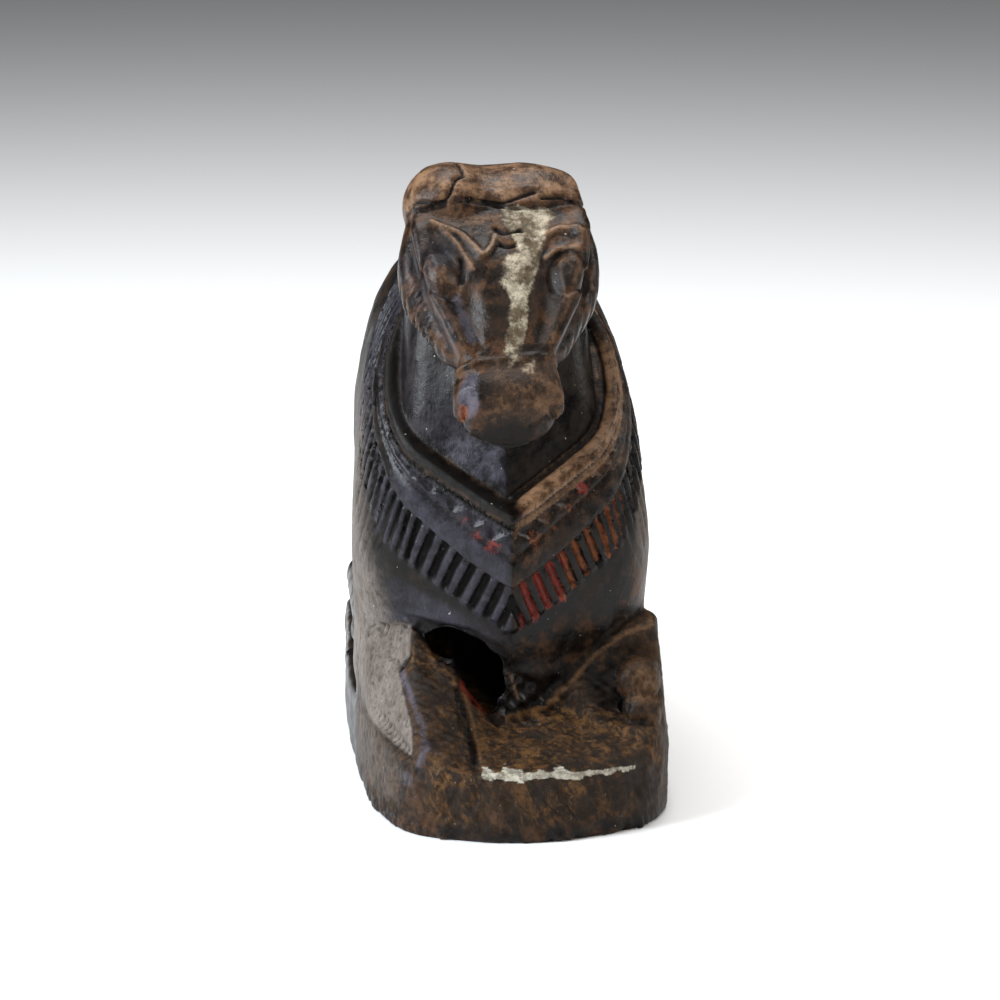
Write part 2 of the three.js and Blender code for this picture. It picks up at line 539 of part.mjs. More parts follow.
// Merges the faces down to a number of them, each time drawing together the two points that change the form
// least. Each point carries the planes of the faces it stands for, as the ten terms of their summed squared
// distances.
function merge({ points, faces }, target) {
  const planes = points.map(() => new Float64Array(10));
  const facesOf = points.map(() => new Set());
  const alive = faces.map(() => true);
  const turn = new Int32Array(points.length);
  faces.forEach((face, f) => {
    const [p, q, r] = face.map((v) => points[v]);
    const n = cross(minus(q, p), minus(r, p));
    const size = sqrt(dot(n, n)) || 1e-12;
    const [a, b, c] = n.map((v) => v / size);
    const d = -dot([a, b, c], p);
    const terms = [a * a, a * b, a * c, a * d, b * b, b * c, b * d, c * c, c * d, d * d];
    for (const v of face) {
      facesOf[v].add(f);
      terms.forEach((term, i) => (planes[v][i] += term * size));
    }
  });
  const misfit = (m, [x, y, z]) => {
    const squares = m[0] * x * x + m[4] * y * y + m[7] * z * z;
    const products = m[1] * x * y + m[2] * x * z + m[5] * y * z;
    return squares + 2 * products + 2 * (m[3] * x + m[6] * y + m[8] * z) + m[9];
  };
  const neighbours = (v) => {
    const set = new Set();
    for (const f of facesOf[v]) for (const w of faces[f]) if (w !== v) set.add(w);
    return set;
  };
  const meetingPoint = (m, p, q) => {
    const middle = [0, 1, 2].map((i) => (p[i] + q[i]) / 2);
    const hold = 2e-3 * (m[0] + m[4] + m[7]);
    const rows = [[m[0] + hold, m[1], m[2]], [m[1], m[4] + hold, m[5]], [m[2], m[5], m[7] + hold]];
    const right = [m[3], m[6], m[8]].map((v, i) => hold * middle[i] - v);
    const volume = dot(rows[0], cross(rows[1], rows[2]));
    if (abs(volume) < 1e-12) return middle;
    const [c0, c1, c2] = [cross(rows[1], rows[2]), cross(rows[2], rows[0]), cross(rows[0], rows[1])];
    return [0, 1, 2].map((i) => (right[0] * c0[i] + right[1] * c1[i] + right[2] * c2[i]) / volume);
  };
  const queue = new Queue();
  const offer = (a, b) => {
    const m = planes[a].map((v, i) => v + planes[b][i]);
    const place = meetingPoint(m, points[a], points[b]);
    const apart = minus(points[a], points[b]);
    const cost = max(misfit(m, place), 0) + 1e-7 * dot(apart, apart);
    queue.push({ cost, a, b, place, turns: turn[a] + turn[b] });
  };
  points.forEach((_, a) => neighbours(a).forEach((b) => a < b && offer(a, b)));
  // A face may not fold over, nor be drawn out to a sliver, as one of its points moves.
  const staysSound = (v, other, place) => {
    for (const f of facesOf[v]) {
      if (faces[f].includes(other)) continue;
      const old = faces[f].map((w) => points[w]);
      const now = faces[f].map((w) => (w === v ? place : points[w]));
      const [n0, n1] = [old, now].map(([p, q, r]) => cross(minus(q, p), minus(r, p)));
      const [l0, l1] = [n0, n1].map((n) => sqrt(dot(n, n)));
      if (dot(n0, n1) < 0.25 * l0 * l1) return false;
      const longest = max(...now.map((p, i) => hypot(...minus(p, now[(i + 1) % 3]))));
      if (l1 < 0.06 * longest * longest || l1 < 0.02) return false;
    }
    return true;
  };
  let count = faces.length;
  while (count > target && queue.entries.length) {
    const { a, b, place, turns } = queue.pop();
    if (turn[a] < 0 || turn[b] < 0 || turn[a] + turn[b] !== turns) continue;
    const shared = [...facesOf[a]].filter((f) => facesOf[b].has(f));
    const [na, nb] = [neighbours(a), neighbours(b)];
    const common = [...na].filter((v) => nb.has(v));
    if (shared.length !== 2 || common.length !== 2) continue;
    if (!staysSound(a, b, place) || !staysSound(b, a, place)) continue;
    points[a] = place;
    for (const f of shared) {
      alive[f] = false;
      for (const v of faces[f]) facesOf[v].delete(f);
      count--;
    }
    for (const f of facesOf[b]) {
      faces[f] = faces[f].map((v) => (v === b ? a : v));
      facesOf[a].add(f);
    }
    facesOf[b].clear();
    planes[b].forEach((v, i) => (planes[a][i] += v));
    turn[b] = -1;
    turn[a]++;
    neighbours(a).forEach((v) => offer(a, v));
  }
  return { points, faces: faces.filter((_, f) => alive[f]) };
}

// A mesh of the faces, set with its underside at z = 0 and its middle over the origin.
function solid({ points, faces }) {
  const used = [...new Set(faces.flat())];
  const number = new Map(used.map((v, i) => [v, i]));
  const geometry = new THREE.BufferGeometry();
  geometry.setAttribute("position", new THREE.Float32BufferAttribute(used.flatMap((v) => points[v]), 3));
  geometry.setIndex(faces.flat().map((v) => number.get(v)));
  geometry.computeBoundingBox();
  const { min: low, max: high } = geometry.boundingBox;
  geometry.translate(-(low.x + high.x) / 2, -(low.y + high.y) / 2, -low.z);
  geometry.computeVertexNormals();
  return geometry;
}

const rough = cutOut(field);
rough.points = rough.points.map((p) => settle(field, p, 0.5));
const geometry = solid(merge(rough, FACES));

const wood = new THREE.MeshStandardMaterial({ color: 0x4b3c30, roughness: 0.5, metalness: 0 });
wood.name = "dark_polished_wood";
const figure = new THREE.Mesh(geometry, wood);
figure.name = "nandi_bull_figure";
const group = new THREE.Group();
group.name = "nandi_bull";
group.add(figure);

export default group;
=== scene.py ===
import bpy
import math
import numpy as np
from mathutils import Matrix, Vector


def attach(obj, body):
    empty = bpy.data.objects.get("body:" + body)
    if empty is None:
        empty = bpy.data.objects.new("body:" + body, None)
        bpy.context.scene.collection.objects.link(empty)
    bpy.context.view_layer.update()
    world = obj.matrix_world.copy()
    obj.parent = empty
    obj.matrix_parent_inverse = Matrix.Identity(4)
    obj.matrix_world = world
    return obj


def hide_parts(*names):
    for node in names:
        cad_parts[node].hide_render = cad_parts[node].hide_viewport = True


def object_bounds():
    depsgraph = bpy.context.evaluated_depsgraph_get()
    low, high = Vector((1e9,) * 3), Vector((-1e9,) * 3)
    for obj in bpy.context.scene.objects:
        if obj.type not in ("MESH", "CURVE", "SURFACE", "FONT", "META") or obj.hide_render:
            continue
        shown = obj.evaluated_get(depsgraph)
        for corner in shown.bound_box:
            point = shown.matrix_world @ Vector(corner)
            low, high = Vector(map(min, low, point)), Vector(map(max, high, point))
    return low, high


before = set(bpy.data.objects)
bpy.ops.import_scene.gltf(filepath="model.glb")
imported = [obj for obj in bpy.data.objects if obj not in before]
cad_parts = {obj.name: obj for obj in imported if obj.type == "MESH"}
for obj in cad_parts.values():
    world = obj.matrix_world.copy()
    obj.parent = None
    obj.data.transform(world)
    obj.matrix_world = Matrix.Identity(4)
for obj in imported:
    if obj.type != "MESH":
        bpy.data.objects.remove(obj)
cad_box = [list(corner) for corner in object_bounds()]

# The carved bull: one block of dark hardwood, plinth and all, roughed out with a saw and adze and finished
# with gouges. Nothing is fixed to it. The form is drawn in millimetres, x across, b back from the plinth's
# front and z up, and the fine carving is cut into a close mesh of it. Left is left as seen from the front.
ORIGIN = (2.295, 100)  # the drawing's x and b at the middle of the block's underside


def mix(a, b, t):
    """The value a share t of the way from a to b."""
    return a + (b - a) * t


def ease(v, start, end):
    """0 before start and 1 after end, smooth in between."""
    t = np.clip((v - start) / (end - start), 0, 1)
    return t * t * (3 - 2 * t)


def within(v, start, end, soft):
    """1 from start to end and 0 outside, soft this far to either side of both."""
    return ease(v, start - soft, start + soft) * (1 - ease(v, end - soft, end + soft))


def roll(off, width):
    """A rounded ridge: 1 in the middle, 0 at this width to either side."""
    return np.where(np.abs(off) < width, np.cos(math.pi / 2 * np.clip(off / width, -1, 1)) ** 2, 0)


def join(a, b, k):
    """Two forms as one, the corner between them filled over k millimetres."""
    h = np.maximum(k - np.abs(a - b), 0) / k
    return np.minimum(a, b) - h * h * k / 4


def keep(a, b, k):
    """What two forms share, its edge rounded over k millimetres."""
    return -join(-a, -b, k)


def curve(points):
    """A smooth curve through points whose first number rises, read at any first number."""
    pts = np.array(points, float)
    last = len(pts) - 1
    t = np.linspace(0, last, 721)
    i = np.minimum(t.astype(int), last - 1)
    w = (t - i)[:, None]
    p1, p2 = pts[i], pts[i + 1]
    v0 = (p2 - pts[np.maximum(i - 1, 0)]) / 2
    v1 = (pts[np.minimum(i + 2, last)] - p1) / 2
    path = (2 * p1 - 2 * p2 + v0 + v1) * w**3 + (3 * p2 - 3 * p1 - 2 * v0 - v1) * w**2 + v0 * w + p1
    return lambda a: np.interp(a, path[:, 0], path[:, 1])


def egg(x, b, z, centre, radii):
    """Distance to an ellipsoid, nearly."""
    dx, db, dz = (x - centre[0]) / radii[0], (b - centre[1]) / radii[1], (z - centre[2]) / radii[2]
    near = np.sqrt(dx * dx + db * db + dz * dz)
    slope = np.sqrt((dx / radii[0]) ** 2 + (db / radii[1]) ** 2 + (dz / radii[2]) ** 2)
    return near * (near - 1) / np.maximum(slope, 1e-6)


def bar(x, b, z, p, q, rp, rq):
    """Distance to a round bar from p to q, with a radius at each end."""
    v = np.subtract(q, p)
    wx, wb, wz = x - p[0], b - p[1], z - p[2]
    t = np.clip((v[0] * wx + v[1] * wb + v[2] * wz) / v.dot(v), 0, 1)
    return np.sqrt((wx - v[0] * t) ** 2 + (wb - v[1] * t) ** 2 + (wz - v[2] * t) ** 2) - mix(rp, rq, t)


def section(u, v, w, h, power):
    """Distance to a cross-section between an oval and a box, w and h from middle to side, nearly."""
    au, av = np.abs(u) / w, np.abs(v) / h
    near = np.maximum(au**power + av**power, 1e-6) ** (1 / power)
    slope = near ** (1 - power) * np.hypot(au ** (power - 1) / w, av ** (power - 1) / h)
    return (near - 1) / np.maximum(slope, 1e-6)


def ripple(x, b, z, size, seed):
    """Smooth unevenness between -1 and 1, about size mm from crest to crest."""
    rng = np.random.default_rng(seed)
    total = 0
    for _ in range(5):
        way = rng.normal(size=3)
        way *= 2 * math.pi / size / np.linalg.norm(way) * rng.uniform(0.7, 1.3)
        total = total + np.sin(way[0] * x + way[1] * b + way[2] * z + rng.uniform(0, 6.28))
    return total / 3


# The body from the side and from above, and the keel that runs down the middle of the neck and the chest.
back_line = curve([(0, 92), (20, 106), (40, 119), (60, 130), (80, 137), (96, 139), (106, 141.5), (116, 142),
                   (126, 136), (136, 124.5), (147, 114), (160, 108), (174, 105.5), (186, 101), (195, 91),
                   (204, 72)])
flank = curve([(0, 33), (22, 36.5), (40, 38.6), (62, 39), (85, 38.8), (108, 38), (125, 35.4), (142, 32.4),
               (165, 31), (185, 30.4), (204, 27)])
chest_keel = curve([(0, 44), (18, 42), (26, 37), (34, 30.5), (42, 27), (50, 25), (62, 23.6), (80, 24),
                    (96, 27), (115, 33), (140, 44)])
neck_keel = curve([(60, 27), (84, 28.6), (100, 31.5), (115, 35), (130, 40), (150, 47), (170, 52)])
neck_back = curve([(60, 110), (100, 104), (120, 97), (135, 86), (148, 77), (160, 72), (170, 68)])
neck_half = curve([(60, 34), (84, 31), (100, 28.2), (115, 25.6), (128, 23.8), (142, 21.8), (156, 19.5),
                   (170, 17)])
FACET_SLOPE = 0.5  # how far the facets beside the keel run back for each millimetre across


RING_CENTRE, RING_RADIUS, RING_START = (192.5, 249), 250, math.radians(50.2)


def ring_at(b, z):
    """How far up the collar a place is: its bands fan out from a centre high behind the bull."""
    return (RING_START - np.arctan2(RING_CENTRE[1] - z, RING_CENTRE[0] - b)) * RING_RADIUS


# Where the collar's fringe, its plain band, its band of triangles and its roll begin.
fringe_from = curve([(18, -1.2), (30, 1), (42, 3.4), (50, 2.4), (60, -2), (72, -6), (90, -7.5), (130, -5)])
plain_from = curve([(18, 9.7), (28, 10.4), (36, 12.6), (44, 14.2), (60, 15), (130, 15)])
pattern_from = curve([(18, 15), (28, 16.2), (36, 17.6), (50, 18.4), (130, 18.6)])
ROLL_FROM, ROLL_TO = 21, 23.2
STROKE_PITCH, TRIANGLE_PITCH = 3.5, 5.2


def along_bands(x, b, z):
    """How far along the collar a place is, unevenly, as a hand spaces its cuts."""
    side = ease(b, 36, 50)
    even = 0.78 * np.abs(x) + 0.9 * np.maximum(b - 36, 0) + z * (0.33 - 0.13 * side) + 10.4 * side
    return even + 0.3 * ripple(x, b, z, 21, 3)


def gouge_stroke(place):
    """0 on the ridges between the fringe's strokes, 1 along the middle of each."""
    return 0.5 - 0.5 * np.cos(2 * math.pi * place / STROKE_PITCH)


def collar_relief(x, b, z, q):
    """The fringe's gouge strokes, the plain band, the band of triangles and the roll, outwards."""
    outer, plain, pattern = fringe_from(b), plain_from(b), pattern_from(b)
    place = along_bands(x, b, z)
    outer = outer + 0.5 * ripple(x, b, z, 5, 5)
    strokes = within(q, outer + 0.6, plain - 0.5, 0.4)
    fringe = (0.5 - 1.7 * ease(gouge_stroke(place), 0.45, 0.72)) * strokes
    bands = 1.1 * within(q, plain, ROLL_TO + 2, 0.3)
    zigzag = pattern + 1 + (ROLL_FROM - pattern - 2) * np.abs((place / TRIANGLE_PITCH) % 1 - 0.5) * 2
    triangles = -0.6 * within(q, zigzag, ROLL_FROM - 0.8, 0.25) * ease(q, pattern + 0.6, pattern + 1)
    lines = -0.8 * (roll(q - pattern, 0.5) + roll(q - ROLL_FROM, 0.5))
    return np.where(q < -9, 0, fringe + bands + triangles + lines)


def body(x, b, z):
    """The trunk with its hump, cut to facets in front and dressed with the collar."""
    top, half = back_line(b), flank(b)
    middle, tall = (top - 30) / 2, (top + 30) / 2
    waist = 2.6 * within(b, 88, 124, 9) * (1 - ease(z, 62, 96))
    barrel = section(x, z - middle, half - waist, tall, 3)
    set_back = 4 * ease(-x, 18, 32) * (1 - ease(z, 46, 60))
    facets = (chest_keel(z) + FACET_SLOPE * np.abs(x) + set_back - b) / math.hypot(1, FACET_SLOPE)
    rump = b - 196 + 0.004 * x * x
    mass = keep(keep(barrel, facets, 5 + 0.28 * np.abs(x)), rump, 30)
    shallow = mass * 0.89 * (1 - ease(np.abs(x), 26, 38))
    q = ring_at(b + shallow, z)
    return mass - collar_relief(x, b, z, q) + np.maximum(q - ROLL_TO, 0) * 4


def neck(x, b, z):
    front, back, half = neck_keel(z), neck_back(z), neck_half(z)
    column = section(x + 1.2, b - (front + back) / 2, half, (back - front) / 2 + 5, 2.5)
    facets = (front + FACET_SLOPE * np.abs(x + 1.2) - b) / math.hypot(1, FACET_SLOPE)
    return keep(keep(column, facets, 3.5), z - 163, 8)


# The face from its front and its side, down from the crown's front.
face_half = curve([(-22, 15), (-12, 20), (0, 22.6), (8, 22.2), (18, 20.9), (27, 18.4), (34, 15.2), (40, 12.6),
                   (43, 12.6), (47, 14.2), (52, 15.4), (57, 14.6), (62, 11.8), (68, 8)])
face_top = curve([(-22, -8), (-12, -2), (0, 0), (12, 1.2), (26, 0.4), (38, -2.2), (46, -3.2), (52, -3),
                  (58, -5.2), (63, -9.5), (68, -15)])
face_under = curve([(-22, -38), (0, -42), (14, -39), (28, -32), (38, -27), (46, -25.5), (54, -26),
                    (62, -24.5), (68, -22)])
ear_outer = curve([(-8, 22), (0, 24.2), (8, 25.8), (15, 25.8), (22, 24), (30, 19.6), (37, 15.6), (42, 10)])


FACE_TOP = (-2.3, 35, 160)
LEAN_BACK, LEAN_DOWN = 0.684, 0.729  # the face falls forwards and down by these shares


def face_place(x, b, z):
    """A point's place on the face: u across, s down it from the crown's front and n outwards."""
    u, db, dz = x - FACE_TOP[0], b - FACE_TOP[1], z - FACE_TOP[2]
    return u, -LEAN_BACK * db - LEAN_DOWN * dz, -LEAN_DOWN * db + LEAN_BACK * dz


def face_relief(u, s, n):
    """The broad carving of the face, outwards. The finer cuts come later."""
    a = np.abs(u)
    half = face_half(s)
    rim = 0.9 * ease(a, half - 5.5, half - 2.5) * within(s, 4, 40, 3)
    bridge = 1.3 * (1 - ease(a, mix(6, 3, s / 40), mix(12, 8, s / 40))) * within(s, 13, 40, 5)
    hollow = -1.2 * within(a, 9.8 - s * 0.06, 15.8 - s * 0.14, 2.2) * within(s, 25, 38, 5)
    crease = -1.1 * roll(s + 0.2 - 0.7 * np.sin(u * 0.24), 1) * (1 - ease(a, 21, 24))
    cap = 0.7 * (1 - ease(s, -0.4, 0.6)) * (1 - ease(a, 18, 22))
    eye_shape = np.hypot((a - 16) / 3.8, (s - 20.8 + 0.3 * (a - 16)) / 5.6)
    eye = 1.3 * (1 - ease(eye_shape, 0.25, 1)) - 0.8 * roll(eye_shape - 1.15, 0.3)
    nose = np.hypot((a - 10.8) / 2, (s - 55.2) / 2.6)
    nostril = (0.3 * roll(nose - 1.5, 0.5) - 0.9 * (1 - ease(nose, 0.2, 1))) * ease(n, -18, -12)
    band = 0.6 * roll(s - 44 + 0.1 * u, 1.4)
    mouth = -1.2 * roll(n + 17.5 + 0.02 * u * u, 1.2) * ease(s, 46, 52)
    carved = rim + bridge + hollow + crease + cap + eye + nostril + band + mouth
    return np.where((n < -22) | (s < -6), 0, carved)


def head(x, b, z):
    """The mask of the face, the crown with its two lobes, the skull behind and the ears pressed back."""
    u, s, n = face_place(x, b, z)
    half, top, under = face_half(s), face_top(s), face_under(s)
    jaw = 0.05 * np.maximum(top - n - 4, 0) ** 2 * ease(s, 42, 52)
    cheek = np.abs(u) - half + 0.16 * np.maximum(top - n, 0) * (1 - ease(s, 36, 46)) + jaw
    mask = keep(keep(cheek, n - top, mix(2.4, 12, ease(s, 38, 50))), under - n, 9)
    ends = keep(keep(mask, s - 62.5, 12), -18 - s, 10)
    left_lobe = egg(u, b, z, (-12.2, 47, 158.2), (12, 13.5, 11.8))
    right_lobe = egg(u, b, z, (9, 47.5, 157.4), (13, 13, 11.8))
    crown = join(left_lobe, right_lobe, 6)
    skull = join(join(ends, crown, 3), egg(u, b, z, (0, 60, 152), (20, 16, 15)), 8)
    outer = ear_outer(s)
    a = np.abs(u)
    leaf = section(a - outer + 5, n + 14, 5, np.maximum(8.4 - 0.12 * s, 2), 3)
    cuts = ease(np.cos(2 * math.pi * (s + 0.55 * n) / 4.1), 0, 0.65) * within(s, 15, 36, 2)
    ear = keep(leaf + 0.8 * cuts * ease(a, outer - 3, outer), np.abs(s - 16) - 23.5, 5)
    return join(skull - face_relief(u, s, n), ear, 1)


# The plinth's bowed front, seen from above.
plinth_front = curve([(-44, 90), (-41, 62), (-38, 42), (-34.5, 26), (-30, 14), (-25, 8), (-17, 4), (-8, 1),
                      (0, 0), (8, 0.4), (17, 3), (28, 8), (36, 14.5), (40.5, 24), (43.5, 38), (46, 56)])


def plan(x, b):
    """Distance to the plinth's outline, seen from above."""
    bow = (plinth_front(x) - b) / np.hypot(1, plinth_front(x + 0.5) - plinth_front(x - 0.5))
    middle = 3.6 * (1 - ease(b, 45, 130))
    sides = np.abs(x - middle) - 41.6 + 5 * ease(b, 60, 190)
    return keep(keep(bow, sides, 5), b - 200, 20)


WEB, WEB_RADIUS = ((31.5, 30.3, 27.6), (40.5, 30, 27.6)), 2.8  # the wood that joins the far knee to its pad


def forelegs(x, b, z):
    """The folded forelegs and the wood left between them, from the plinth up."""
    inward = x + 8.4 + 0.3 * b + 0.0012 * b * b
    wing = (np.minimum(0.09 * np.maximum(-x - 2, 0) ** 2, 14.5) * np.clip((b - 15) / 15, 0, 1.05)
            * ease(inward, -4, -1))
    tongue = keep((z - (17.6 + 0.27 * b + wing)) * 0.93, b - 60, 1.2)
    u = x + 25.5
    shin = 18.2 + 0.6 * b + 0.0042 * b * b + 0.012 * np.maximum(b - 25, 0) ** 2
    outer_slope = (z - shin - 1.75 * u) * 0.47
    inner_slope = (z - shin + 0.2 * u) * 0.8
    rear_top = (z - 49.3 + 0.6 * (b - 38) + 0.3 * np.minimum(u, 0)) * 0.8
    near_leg = keep(keep(keep(outer_slope, inner_slope, 2), inward * 0.9, 0.6), rear_top, 1.2)
    far_slope = (z - (0.645 * x + 1.075 * b - 16)) * 0.62
    far_leg = keep(keep(far_slope, np.maximum(b - 68, z - 48), 3), 8 - x, 3)
    dish = egg(x, b, z, (36, 24, 42), (26, 14, 17.5))
    knee = keep(bar(x, b, z, (34, 28, 35), (36, 40, 33), 5.6, 6.4), 24.4 - b, 2)
    pad = bar(x, b, z, (33.4, 25, 28.6), (38.6, 24.4, 27.2), 4, 4)
    web = bar(x, b, z, *WEB, WEB_RADIUS, WEB_RADIUS)
    far = join(join(join(keep(far_leg, -dish, 2), web, 1), knee, 0.8), pad, 0.8)
    both = join(join(tongue, near_leg, 0.6), far, 0.6)
    inset = np.where(x < 0, 1 - ease(b, 22, 42), 1 + 1.7 * ease(b, 50, 70))
    sides = plan(x, b) + (0.3 + 0.13 * np.maximum(z - 19, 0)) * inset
    return keep(keep(both, sides, 3), -z, 2.2)


def pocket(x, b, z):
    """The hollow under the chest."""
    return egg(x, b, z, (-10.5, 43, 36), (17, 17, 15))


def brink(x):
    """How far back the hollow's front edge lies."""
    return 31.5 + 0.6 * np.maximum(x + 2, 0) + 0.45 * np.maximum(-x - 11, 0)


def limbs(x, b, z):
    """The shoulders, upper forelegs, hind legs and tail."""
    a = np.abs(x)
    thigh = egg(a, b, z, (22, 160, 46), (12.6, 32, 34))
    shank = bar(a, b, z, (29, 184, 26), (30.5, 128, 25.5), 7, 6)
    hoof = bar(a, b, z, (31, 127, 25), (31.5, 112, 23.5), 6.4, 5.4)
    cleft = bar(a, b, z, (38, 126, 25), (38.2, 106, 24), 0.8, 1.3)
    hind = join(thigh, keep(join(shank, hoof, 1), -cleft, 0.6), 1.6)
    shoulder = egg(a, b, z, (27.5, 62, 66), (12.2, 24, 30))
    arm = bar(a, b, z, (31, 96, 28), (31.5, 66, 29), 7, 7)
    fore = join(shoulder, arm, 3)
    return join(join(hind, fore, 2), tail(x, b, z), 1)


# The tail, from the rump down and round on to the thigh on the right.
tail_x = curve([(0, 0), (1, 1), (2, 6), (3, 16), (4, 27), (5, 33)])
tail_b = curve([(0, 184), (1, 193), (2, 195), (3, 191), (4, 181), (5, 169)])
tail_z = curve([(0, 99), (1, 80), (2, 60), (3, 46), (4, 42), (5, 47)])


def tail(x, b, z):
    near = np.full_like(x, 1e3)
    behind = b > 150
    steps = np.linspace(0, 5, 26)
    path = np.stack([tail_x(steps), tail_b(steps), tail_z(steps)], axis=1)
    xs, bs, zs = x[behind], b[behind], z[behind]
    best = np.full_like(xs, 1e3)
    for p, q in zip(path, path[1:]):
        best = np.minimum(best, bar(xs, bs, zs, p, q, 4, 4))
    near[behind] = best
    return join(near, egg(x, b, z, (33.4, 161, 51), (3.6, 9, 5.5)), 2)


def carving(x, b, z):
    """Distance to the whole carving's surface, negative inside the wood."""
    trunk = join(body(x, b, z), neck(x, b, z), 0.8)
    figure = join(join(trunk, limbs(x, b, z), 2), head(x, b, z), 2)
    plinth = keep(keep(plan(x, b), z - 19, 2.5), -z, 2.2)
    scoop = pocket(x, b, z)
    legs = keep(forelegs(x, b, z), -keep(scoop, brink(x) - b, 1), 1)
    whole = join(keep(join(figure, plinth, 1), -scoop, 1.2), legs, 0.8)
    return np.maximum(whole, np.maximum(-b, -z))


def slope_of(form, p, step=0.05):
    """A form's value and its slope at every point."""
    value = form(*p)
    return value, np.stack([(form(p[0] + step, p[1], p[2]) - value) / step,
                            (form(p[0], p[1] + step, p[2]) - value) / step,
                            (form(p[0], p[1], p[2] + step) - value) / step])


def settle(form, p, rounds, reach):
    """The points moved on to a form's surface, at most this reach in a round."""
    for _ in range(rounds):
        value, slope = slope_of(form, p)
        steep = np.maximum((slope**2).sum(axis=0), 1e-4)
        move = value / steep
        move *= np.minimum(1, reach / np.maximum(np.abs(move) * np.sqrt(steep), 1e-9))
        p = p - slope * move
    return p


def drawing_of(mesh):
    """The mesh's points as the drawing places them."""
    flat = np.empty(len(mesh.vertices) * 3)
    mesh.vertices.foreach_get("co", flat)
    p = flat.reshape(-1, 3).T * 1000
    return np.stack([p[0] + ORIGIN[0], p[1] + ORIGIN[1], p[2]])


def put_back(mesh, p):
    """The mesh's points moved to these places of the drawing."""
    flat = np.stack([p[0] - ORIGIN[0], p[1] - ORIGIN[1], p[2]]).T.ravel() / 1000
    mesh.vertices.foreach_set("co", flat)
    mesh.update()


def apply_modifier(piece, kind, **settings):
    bpy.ops.object.select_all(action="DESELECT")
    bpy.context.view_layer.objects.active = piece
    piece.select_set(True)
    modifier = piece.modifiers.new(kind.title(), kind)
    for name, value in settings.items():
        setattr(modifier, name, value)
    bpy.ops.object.modifier_apply(modifier=modifier.name)


def line_distance(u, s, start, end):
    """Distance to a straight line from start to end."""
    du, ds = end[0] - start[0], end[1] - start[1]
    t = np.clip(((u - start[0]) * du + (s - start[1]) * ds) / (du * du + ds * ds), 0, 1)
    return np.hypot(u - start[0] - t * du, s - start[1] - t * ds)


def line(u, s, points, width):
    """1 along a line through the points, falling to 0 at this width to either side."""
    best = np.minimum.reduce([line_distance(u, s, start, end) for start, end in zip(points, points[1:])])
    return 1 - ease(best, 0, width)


def patch(u, v, outline, soft):
    """1 inside an outline, 0 outside it, soft this far to either side of its edge."""
    far, odd = np.full_like(u, 1e3), np.zeros(u.shape, bool)
    for start, end in zip(outline, outline[1:] + outline[:1]):
        far = np.minimum(far, line_distance(u, v, start, end))
        crossing = start[0] + (v - start[1]) / (end[1] - start[1] + 1e-9) * (end[0] - start[0])
        odd ^= ((start[1] > v) != (end[1] > v)) & (u < crossing)
    return ease(np.where(odd, far, -far), -soft, soft)


# The lines cut into the face, in millimetres across it and down it from the crown's front.
CROWN_CRACK = [(-10.1, -15.7), (-8.9, -8.8), (-11.1, -7), (-12.6, -2.6), (-14.2, -0.4), (-16.8, -0.2),
               (-20, -1.7), (-23.1, -2.9)]
CROWN_LINE = [(-8.5, -1.5), (-5.2, -2), (0, -0.5), (3.6, -1.7), (9.3, -3.3)]
CROWN_LINE_RIGHT = [(10.7, -1.6), (16, -2.1), (19.1, -1.5)]
LEFT_BROW = [(-17.8, 4.8), (-14.3, 7), (-11.4, 8.4), (-9, 10.5), (-6.7, 14), (-5.7, 16.1), (-4.4, 15.6),
             (-2.7, 13), (-1.8, 9.5)]
LEFT_LID = [(-14.4, 8.6), (-11.5, 12), (-9.6, 16), (-7.9, 20.2)]
RIGHT_BROW = [(8.2, 16.5), (9.6, 13), (11.5, 9), (15, 7.4), (19, 7.8), (20.7, 9)]
RIGHT_LID = [(10.6, 16.8), (13.6, 14.2), (16.7, 13.4), (19.5, 14)]
RIGHT_EYE = [(14.2, 18.6), (15.8, 17.4), (18.7, 17.3), (19.2, 21.8), (17.8, 26.5), (15.5, 29), (14.9, 24.6),
             (14.2, 18.6)]
LEFT_TEAR = [(-10.6, 17), (-10.8, 23)]  # the deep cut at the inner corner of the eye
MARK_TOP = [(-1.4, 7), (0.9, 9), (5, 7.9)]
MARK_FOOT = [(-0.6, 12.7), (1.4, 13.6), (3.2, 13)]
MUZZLE_CREASES = [[(-12, 47.2), (-8, 48.2)], [(0.5, 46.9), (5.5, 44.8), (10.7, 41.3)],
                  [(-8.5, 42.5), (-3, 39)]]
MOUTH = [(5, 59.4), (10.1, 57.3)]


